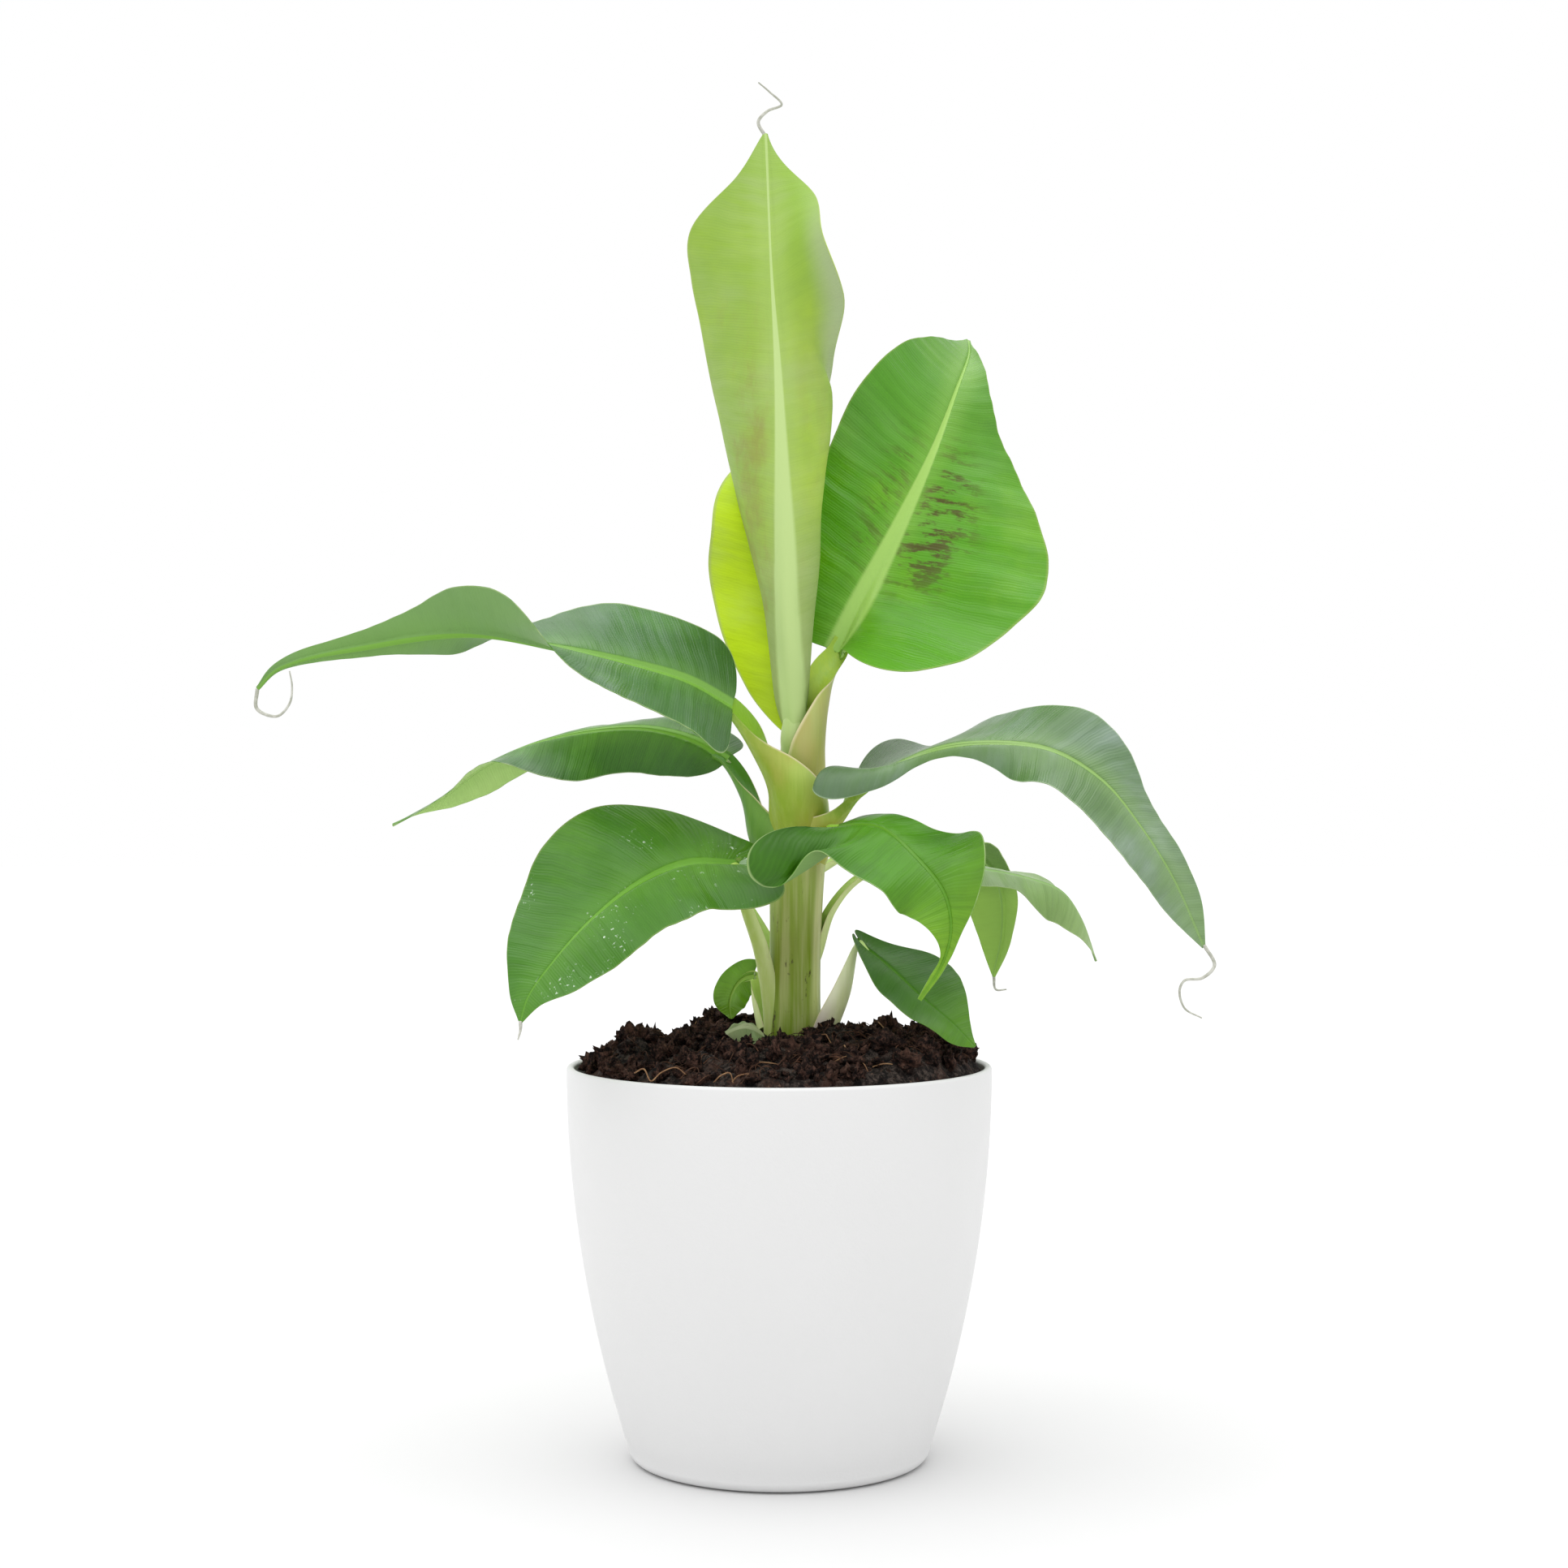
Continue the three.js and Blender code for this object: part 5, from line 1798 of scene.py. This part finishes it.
@dataclass
class Plant:
    """The whole plant above the soil.

    Attributes:
        stem: Its stem.
        stem_finish: The stem's skin.
        foot_finish: The skin of the top leaf's foot, where it leaves the sheaths.
        thread_finish: The finish of the dry threads at the leaves' tips.
        foot_path: The line of that foot, in mm.
        foot_radii: Its radii, in mm.
        thread_radii: The threads' radii, in mm.
        seed: Start of the first leaf's random waves; each later leaf takes the next.
    """

    stem: Stem = field(default_factory=Stem)
    stem_finish: StemFinish = StemFinish(
        "stem_skin", (0.2, 0.31, 0.008), (0.6, 0.62, 0.28), rise=(0.44, 0.55, 0.15),
        flush=(0.2, 0.13, 0.06), blush=0.35, specks=0.95,
    )
    foot_finish: StemFinish = StemFinish(
        "young_stalk", (0.5, 0.6, 0.24), (0.54, 0.7, 0.3), rise=(0.52, 0.68, 0.27),
        flush=(0.46, 0.32, 0.2), blush=0.4,
    )
    thread_finish: FibreFinish = FibreFinish("dry_thread", (0.6, 0.6, 0.54), (0.4, 0.41, 0.34))
    foot_path: tuple[Triple, ...] = (
        (9.3, 0.5, 281), (8.0, 0.3, 294), (7.0, -1.2, 305), (6.0, -4.0, 316),
    )
    foot_radii: tuple[float, ...] = (5.2, 6.2, 6.6, 3.6)
    thread_radii: tuple[float, ...] = (0.8, 0.7, 0.55, 0.45, 0.3)
    seed: int = 11

    def build(self) -> None:
        """Makes the stem, every leaf, and the torn piece on the soil."""
        self.stem.build(self.stem_finish)
        thread = self.thread_finish.material()
        for seed, form in enumerate(LEAF_FORMS, self.seed):
            look = LEAF_LOOKS[form.name]
            slot = "young_leaf" if look.tone is Tone.YOUNG else "leaf"
            Blade(form, look, seed).build(LEAF_FINISHES[look.tone], slot, form.blade_nodes)
            if form.stalk:
                skin = STALK_FINISHES[look.skin]
                Stalk(form, look, self.stem).build(skin, (f"{form.name}_stalk",))
            if form.tail:
                self._thread(form, slot, thread)
        self._spear_foot()
        torn = LeafLook(Tone.SHADED, rows=40)
        Blade(REMNANT, torn, 3).build(REMNANT_FINISH, "leaf", ())

    def _thread(self, form: LeafForm, slot: str, material: bpy.types.Material) -> None:
        """Makes the dry thread at a leaf's tip.

        Args:
            form: The leaf's shape.
            slot: The record's material slot.
            material: The thread's material.
        """
        maker = MeshMaker()
        maker.tube(Spine(form.tail, (0.1, 0.2, 1)), self.thread_radii, 10, 90)
        maker.finish(f"{form.name}_thread", [material], slot)

    def _spear_foot(self) -> None:
        """Makes the thick foot of the top leaf, between the sheaths and its midrib."""
        maker = MeshMaker()
        maker.tube(Spine(self.foot_path, (0.1, -1, 0.2)), self.foot_radii, 40, 60)
        maker.finish("spear_foot", self.foot_finish.materials(), "young_leaf", sharp=80)


# --- pot and soil
@dataclass(frozen=True)
class Pot:
    """The round pot, in mm.

    Attributes:
        height: Its height.
        rim_radius: Its outside radius at the rim.
        base_radius: The outside radius that its curve would have at the floor.
        foot_round: Radius of its rounded foot.
        wall: Thickness of its wall.
        floor: Thickness of its bottom.
        lip_round: Radius of its rounded lip.
        ridge: Height of the low ring moulded into its underside.
    """

    height: float = 166.0
    rim_radius: float = 90.0
    base_radius: float = 62.3
    foot_round: float = 5.0
    wall: float = 3.2
    floor: float = 4.0
    lip_round: float = 1.4
    ridge: float = 0.35

    def radius(self, z: float) -> float:
        """The outside radius at a height."""
        return self.base_radius + (self.rim_radius - self.base_radius) * (
            1 - (1 - z / self.height) ** 2
        )

    @staticmethod
    def _quarter(
        x: float, z: float, radius: float, start: float, steps: int
    ) -> list[tuple[float, float]]:
        """Points along a quarter of a circle.

        Args:
            x: Its centre's distance from the axis.
            z: Its centre's height.
            radius: Its radius.
            start: The angle that it starts at, in degrees.
            steps: How many steps it takes.

        Returns:
            The points.
        """
        turns = [math.radians(start + 90 * k / steps) for k in range(steps + 1)]
        return [(x + radius * math.cos(a), z + radius * math.sin(a)) for a in turns]

    def _profile(self) -> list[tuple[float, float]]:
        """The half section, from the middle of the underside round to the middle inside.

        Returns:
            Its points, as distances from the axis and heights in mm.
        """
        h, f, lip = self.height, self.foot_round, self.lip_round
        foot = self.radius(f) - f
        top = self.radius(h)
        outside = [f + (h - lip - f) * k / 44 for k in range(1, 44)]
        inside = [h - lip - (h - lip - self.floor) * k / 24 for k in range(1, 24)]
        return [
            (0.0, 0.0), (foot * 0.5, 0.0),
            (foot - 6.0, 0.0), (foot - 4.5, self.ridge), (foot - 3.0, 0.0),
            *self._quarter(foot, f, f, -90, 12),
            *((self.radius(z), z) for z in outside),
            *self._quarter(top - lip, h - lip, lip, 0, 8),
            *self._quarter(top - self.wall + lip, h - lip, lip, 90, 8),
            *((self.radius(z) - self.wall, z) for z in inside),
            (self.radius(self.floor) - self.wall, self.floor), (0.0, self.floor),
        ]

    def build(self, finish: PlasticFinish) -> None:
        """Spins the half section round the pot's axis.

        Args:
            finish: Its plastic.
        """
        maker = MeshMaker()
        bm = maker.bm
        verts = [bm.verts.new((x * MM, 0, z * MM)) for x, z in self._profile()]
        edges = [bm.edges.new(pair) for pair in zip(verts, verts[1:])]
        bmesh.ops.spin(
            bm, geom=[*verts, *edges], cent=(0, 0, 0), axis=(0, 0, 1), angle=2 * math.pi,
            steps=144, use_merge=True,
        )
        bmesh.ops.remove_doubles(bm, verts=bm.verts, dist=WELD)
        bmesh.ops.recalc_face_normals(bm, faces=bm.faces)
        maker.finish("round_pot", [finish.material()], "pot", ("pot",), sharp=35)


@dataclass(frozen=True)
class Crumbs:
    """How the loose crumbs of soil are scattered, in mm.

    Attributes:
        count: How many there are.
        smallest: Radius of the smallest.
        largest: Radius of the largest.
        spread: Share of the pot's inside radius that they lie in.
        clearing: The middle and radius of a place where they are all fine, under the torn leaf.
        fine: Their largest radius there.
    """

    count: int = 1700
    smallest: float = 0.6
    largest: float = 4.4
    spread: float = 0.93
    clearing: Triple = (-15, -32, 9)
    fine: float = 1.0


@dataclass
class Soil:
    """The soil's mound with its crumbs, clods and root fibres, in mm.

    Attributes:
        pot: The pot that it fills.
        edge_drop: How far its edge lies below the rim.
        crown: How far the mound stands above its edge.
        middle: How far right of the pot's axis the mound is highest.
        dip: The middle and depth of a hollow towards the back left.
        dip_area: The square of that hollow's breadth.
        lump_height: Height of its rounded lumps.
        lump_radius: Radius of those lumps.
        lumps: How many there are.
        seed: Start of the lumps' random places.
        crumbs: How the loose crumbs are scattered.
        clods: Where the biggest clods lie, and their sizes.
        roots: The paths of the long pale roots at the front.
        loose_roots: How many more of them lie about.
        rootlets: How many fine dark rootlets there are.
        edge: The pot's inside radius at the rim.
        mounds: The lumps' places and relative sizes.
    """

    pot: Pot
    edge_drop: float = 2.0
    crown: float = 12.0
    middle: float = 6.5
    dip: Triple = (-42, 32, 7)
    dip_area: float = 500.0
    lump_height: float = 3.4
    lump_radius: float = 11.0
    lumps: int = 46
    seed: int = 7
    crumbs: Crumbs = Crumbs()
    clods: tuple[Triple, ...] = (
        (-75, 18, 4.6), (-70, 27, 4.0), (-61, 36, 5.2), (-38, 42, 4.6), (-22, 44, 6.2),
        (-12, 46, 5.0), (22, 50, 4.4), (48, 46, 6.4), (53, 40, 4.4), (64, 34, 5.0), (77, 16, 4.6),
        (-79, -6, 4.0), (80, -4, 4.0),
    )
    roots: tuple[tuple[Triple, ...], ...] = (
        ((-58, -62, 169), (-54, -66, 171), (-51, -69, 166.5), (-47, -70, 170), (-41, -70, 172),
         (-37, -69, 169)),
        ((-26, -75, 166.5), (-23, -76, 169.5), (-19.5, -76, 170.5), (-18, -77, 166)),
        ((-19, -76, 166.5), (-16, -77, 169.5), (-11, -77, 170), (-7.5, -77, 168),
         (-5.5, -76, 165.5)),
        ((8, -76, 166), (10, -74, 169.5), (13.5, -72, 172)),
        ((-20, -60, 172), (-10, -63, 173.5), (-2, -64, 173), (4, -62, 171)),
        ((34, -62, 170), (42, -60, 172.5), (50, -57, 171)),
    )
    loose_roots: int = 12
    rootlets: int = 320
    edge: float = field(init=False)
    mounds: np.ndarray = field(init=False)

    def __post_init__(self) -> None:
        """Strews the lumps, with the same run of numbers that the frame's soil has."""
        self.edge = self.pot.radius(self.pot.height) - self.pot.wall
        draws = self._draws(self.seed)
        rows = []
        for _ in range(self.lumps):
            angle = 2 * math.pi * next(draws)
            radius = self.edge * 0.9 * math.sqrt(next(draws))
            rows.append((radius * math.cos(angle), radius * math.sin(angle), 0.5 + next(draws)))
        self.mounds = np.array(rows)

    @staticmethod
    def _draws(state: int) -> Iterator[float]:
        """Numbers from 0 to 1, drawn by a simple rule that gives the same ones everywhere.

        Args:
            state: Where the run starts.

        Yields:
            The next number.
        """
        while True:
            state = state * 16807 % 2147483647
            yield state / 2147483647

    def height(self, x: np.ndarray, y: np.ndarray) -> np.ndarray:
        """The height of the mound without its crumbs.

        Args:
            x: Places to the right of the axis, in mm.
            y: Places behind the axis, in mm.

        Returns:
            Heights in mm.
        """
        share = np.clip(np.hypot(x - self.middle, y) / self.edge, 0, 1)
        z = self.pot.height - self.edge_drop + self.crown * (1 - share**4)
        dip_x, dip_y, depth = self.dip
        z = z - depth * np.exp(-((x - dip_x) ** 2 + (y - dip_y) ** 2) / self.dip_area)
        for mx, my, size in self.mounds:
            away = np.hypot(x - mx, y - my) / (self.lump_radius * size)
            lump = self.lump_height * size * (1 - np.minimum(away, 1) ** 2) ** 2
            z = z + np.where(away < 1, lump, 0)
        return z

    def _ground(self, x: float, y: float) -> float:
        """The height of the mound at one place, in mm."""
        return float(self.height(np.array([x]), np.array([y]))[0])

    def build(
        self, finish: SoilFinish, clod: SoilFinish, fibre: FibreFinish, rootlet: FibreFinish
    ) -> None:
        """Makes the mound, the crumbs and clods, and the roots.

        Args:
            finish: The mound's soil.
            clod: The soil of its crumbs and clods.
            fibre: The few long pale roots.
            rootlet: The many fine dark ones.
        """
        self._mound(finish)
        self._crumbs_and_clods(clod)
        self._fibres(fibre, rootlet)

    def _surface(self, across: np.ndarray, along: np.ndarray) -> tuple[np.ndarray, np.ndarray]:
        """Lays the mound's rough surface, which turns down inside the pot's wall.

        Args:
            across: Places round the axis, from -1 to 1.
            along: Places from the middle to the edge, from 0 to 1.

        Returns:
            Points in mm, and their maps.
        """
        angle = across * math.pi
        radius = (self.edge - 0.5) * np.minimum(along * 1.04, 1.0)
        x, y = radius * np.cos(angle), radius * np.sin(angle)
        rough = np.array([
            noise.fractal(Vector((a / 6, b / 6, 3.1)), 0.8, 2.2, 5) for a, b in zip(x, y)
        ])
        z = self.height(x, y) + 2.4 * rough - np.where(along > 0.9, (along - 0.9) * 90, 0)
        shares = (x / (2 * self.pot.rim_radius) + 0.5, y / (2 * self.pot.rim_radius) + 0.5)
        return np.stack([x, y, z], 1), np.stack([*shares, x / MAP_UNIT, y / MAP_UNIT], 1)

    def _mound(self, finish: SoilFinish) -> None:
        """Makes the mound.

        Args:
            finish: Its soil.
        """
        maker = MeshMaker()
        verts = maker.sheet(260, 100, self._surface)
        bmesh.ops.remove_doubles(maker.bm, verts=verts, dist=10 * WELD)
        bmesh.ops.recalc_face_normals(maker.bm, faces=maker.bm.faces)
        maker.finish("soil_mound", [finish.material()], "soil", ("soil",), sharp=180)

    def _crumbs_and_clods(self, finish: SoilFinish) -> None:
        """Makes ragged crumbs of many sizes, and a few big clods towards the back and sides.

        Args:
            finish: Their soil.
        """
        rng = np.random.default_rng(5)
        maker = MeshMaker()
        for x, y, size in self.clods:
            self._clod(maker.bm, (x, y, self._ground(x, y) + size * 0.4), size, rng)
        crumbs = self.crumbs
        clear_x, clear_y, clear = crumbs.clearing
        for _ in range(crumbs.count):
            angle = rng.uniform(0, 2 * math.pi)
            radius = self.edge * crumbs.spread * math.sqrt(rng.uniform(0.02, 1))
            x, y = radius * math.cos(angle), radius * math.sin(angle)
            size = crumbs.smallest + (crumbs.largest - crumbs.smallest) * rng.uniform() ** 3.2
            size = min(size, (self.edge - radius) * 0.8 + 1.0)
            if math.hypot(x - clear_x, y - clear_y) < clear:
                size = min(size, crumbs.fine)
            z = self._ground(x, y) + size * rng.uniform(-0.1, 0.6)
            self._clod(maker.bm, (x, y, z), size, rng)
        maker.finish("soil_clods", [finish.material()], "soil", sharp=180)

    @staticmethod
    def _clod(
        bm: bmesh.types.BMesh, place: Triple, size: float, rng: np.random.Generator
    ) -> None:
        """Adds one ragged lump, a ball pushed in and out at three scales.

        Args:
            bm: The mesh that it goes into.
            place: Its middle, in mm.
            size: Its radius in mm.
            rng: The source of its shape.
        """
        detail = 3 if size > 2.2 else 2 if size > 1.1 else 1
        made = bmesh.ops.create_icosphere(bm, subdivisions=detail, radius=size)
        stretch = rng.uniform(0.55, 1.25, 3)
        away = Vector(rng.uniform(0, 50, 3))
        for v in made["verts"]:
            wobble = 1 + 0.8 * noise.noise(v.co * (1.7 / size) + away)
            wobble += 0.75 * noise.noise(v.co * (4.2 / size) - away)
            wobble += 0.5 * noise.noise(v.co * (9.0 / size) + 2 * away)
            v.co = Vector((np.array(place) + np.array(v.co) * stretch * wobble) * MM)

    def _anywhere(
        self, rng: np.random.Generator, spread: float, share: tuple[float, float]
    ) -> tuple[float, float]:
        """A random place on the soil.

        Args:
            rng: The source of the place.
            spread: Share of the inside radius that it may lie in.
            share: Least and largest share of that disc's area that lies nearer to the axis.

        Returns:
            The place in mm.
        """
        angle = rng.uniform(0, 2 * math.pi)
        radius = self.edge * spread * math.sqrt(rng.uniform(*share))
        return radius * math.cos(angle), radius * math.sin(angle)

    def _fibres(self, pale: FibreFinish, dark: FibreFinish) -> None:
        """Makes many fine dark rootlets among the crumbs, and a few long pale roots.

        Args:
            pale: The finish of the long ones.
            dark: The finish of the fine ones.
        """
        rng = np.random.default_rng(12)
        maker = MeshMaker()
        for _ in range(self.rootlets):
            start = self._anywhere(rng, 0.9, (0.02, 0.97))
            places = self._strand(start, rng, rng.uniform(0.8, 3.2), rng.uniform(0.8, 2.4))
            thick = rng.uniform(0.12, 0.3)
            maker.tube(Spine(places, (0, 0.1, 1)), (thick, thick, thick * 0.7), 5, 14)
        maker.finish("soil_rootlets", [dark.material()], "soil", sharp=180)
        maker = MeshMaker()
        for places in self.roots:
            maker.tube(Spine(places, (0, -1, 0.1)), (0.32, 0.3, 0.2), 6, 40)
        for _ in range(self.loose_roots):
            start = self._anywhere(rng, 0.85, (0.1, 0.9))
            places = self._strand(start, rng, rng.uniform(1.0, 4.0), rng.uniform(2.0, 3.4))
            maker.tube(Spine(places, (0, 0.1, 1)), (0.22, 0.26, 0.16), 6, 24)
        maker.finish("soil_fibres", [pale.material()], "soil", sharp=180)

    def _strand(
        self, start: tuple[float, float], rng: np.random.Generator, arch: float, step: float
    ) -> list[Triple]:
        """Places along a rootlet that wanders over the crumbs.

        Args:
            start: Where it starts, in mm.
            rng: The source of its wandering.
            arch: How high it stands in its middle, in mm.
            step: Length of each of its steps, in mm.

        Returns:
            Its places, in mm.
        """
        x, y = start
        heading, bend = rng.uniform(0, 2 * math.pi), rng.uniform(-0.5, 0.5)
        limit = self.edge - 4
        places = []
        for k in range(7):
            r = math.hypot(x, y)
            if r > limit:
                x, y = x * limit / r, y * limit / r
            places.append((x, y, self._ground(x, y) + 0.8 + arch * math.sin(math.pi * k / 6)))
            heading += bend + rng.uniform(-0.25, 0.25)
            x, y = x + step * math.cos(heading), y + step * math.sin(heading)
        return places


# --- studio
@dataclass(frozen=True)
class Lamp:
    """A broad soft lamp, far away.

    Attributes:
        name: Its name.
        over: A place that it shines from, as a direction from the origin.
        strength: Its light in watts per square metre.
        breadth: How wide it looks from the plant, in degrees.
    """

    name: str
    over: Triple
    strength: float
    breadth: float

    def build(self) -> None:
        """Adds the lamp."""
        light = bpy.data.lights.new(self.name, "SUN")
        light.energy = self.strength
        light.angle = math.radians(self.breadth)
        lamp = bpy.data.objects.new(self.name, light)
        lamp.location = self.over
        lamp.rotation_euler = (-Vector(self.over)).to_track_quat("-Z", "Y").to_euler()
        bpy.context.scene.collection.objects.link(lamp)


@dataclass(frozen=True)
class Studio:
    """A plain pale floor, a bright plain surround, a soft lamp and the camera.

    Attributes:
        eye: Where the camera stands, level and looking along +Y, in metres.
        lens: Its focal length in mm.
        surround: Brightness of the surround.
        floor: Brightness of the floor.
        gap: How far the floor lies below the pot, in metres.
        half: Half the floor's breadth, in metres.
        lamps: The lamps.
    """

    SENSOR = 36.0  # mm

    eye: Triple = (0.002, -1.134, 0.285)
    lens: float = 61.32
    surround: float = 1.0
    floor: float = 0.7
    gap: float = 0.0003
    half: float = 8.0
    lamps: tuple[Lamp, ...] = (Lamp("top_lamp", (-0.1, 0.0, 1.0), 1.8, 80.0),)

    def build(self) -> None:
        """Adds it all to the scene."""
        scene = bpy.context.scene
        scene.view_settings.view_transform = "Standard"
        world = bpy.data.worlds.new("surround")
        world.use_nodes = True
        background = world.node_tree.nodes["Background"]
        background.inputs["Color"].default_value = (1, 1, 1, 1)
        background.inputs["Strength"].default_value = self.surround
        scene.world = world
        for lamp in self.lamps:
            lamp.build()
        self._floor()
        self._camera()

    def _floor(self) -> None:
        """Adds the floor, a hair below the pot, with a faint tint in its paint."""
        bm = bmesh.new()
        bmesh.ops.create_grid(bm, x_segments=8, y_segments=8, size=self.half)
        bmesh.ops.translate(bm, verts=bm.verts, vec=(0, 0, -self.gap))
        mesh = bpy.data.meshes.new("floor")
        bm.to_mesh(mesh)
        bm.free()
        paint = Shading("floor_paint", 0.9, 0.05)
        tint = paint.step(paint.noise(3, 2), 0.3, 0.7)
        grey = (self.floor,) * 3
        paint.into("Base Color", paint.mix(tint, grey, tuple(c * 1.01 for c in grey)))
        mesh.materials.append(paint.material)
        floor = bpy.data.objects.new("floor", mesh)
        bpy.context.scene.collection.objects.link(floor)

    def _camera(self) -> None:
        """Adds the camera."""
        data = bpy.data.cameras.new("camera")
        data.sensor_width = self.SENSOR
        data.sensor_fit = "HORIZONTAL"
        data.lens = self.lens
        data.clip_start = 0.01
        camera = bpy.data.objects.new("camera", data)
        camera.location = self.eye
        camera.rotation_euler = (math.radians(90), 0, 0)
        bpy.context.scene.collection.objects.link(camera)
        bpy.context.scene.camera = camera


def main() -> None:
    """Builds the studio, the pot, the soil and the plant, in that order."""
    logging.basicConfig(level=logging.INFO, format="%(message)s")
    Studio().build()
    pot = Pot()
    pot.build(PlasticFinish())
    Soil(pot).build(
        SoilFinish("soil_crumbly"),
        SoilFinish("soil_clod", dark=(0.008, 0.005, 0.0045), light=(0.14, 0.072, 0.052), crumb=0.8),
        FibreFinish("root_fibre", (0.4, 0.24, 0.12), (0.2, 0.1, 0.05)),
        FibreFinish("rootlet", (0.12, 0.055, 0.03), (0.04, 0.018, 0.01)),
    )
    Plant().build()


if __name__ == "__main__":
    main()
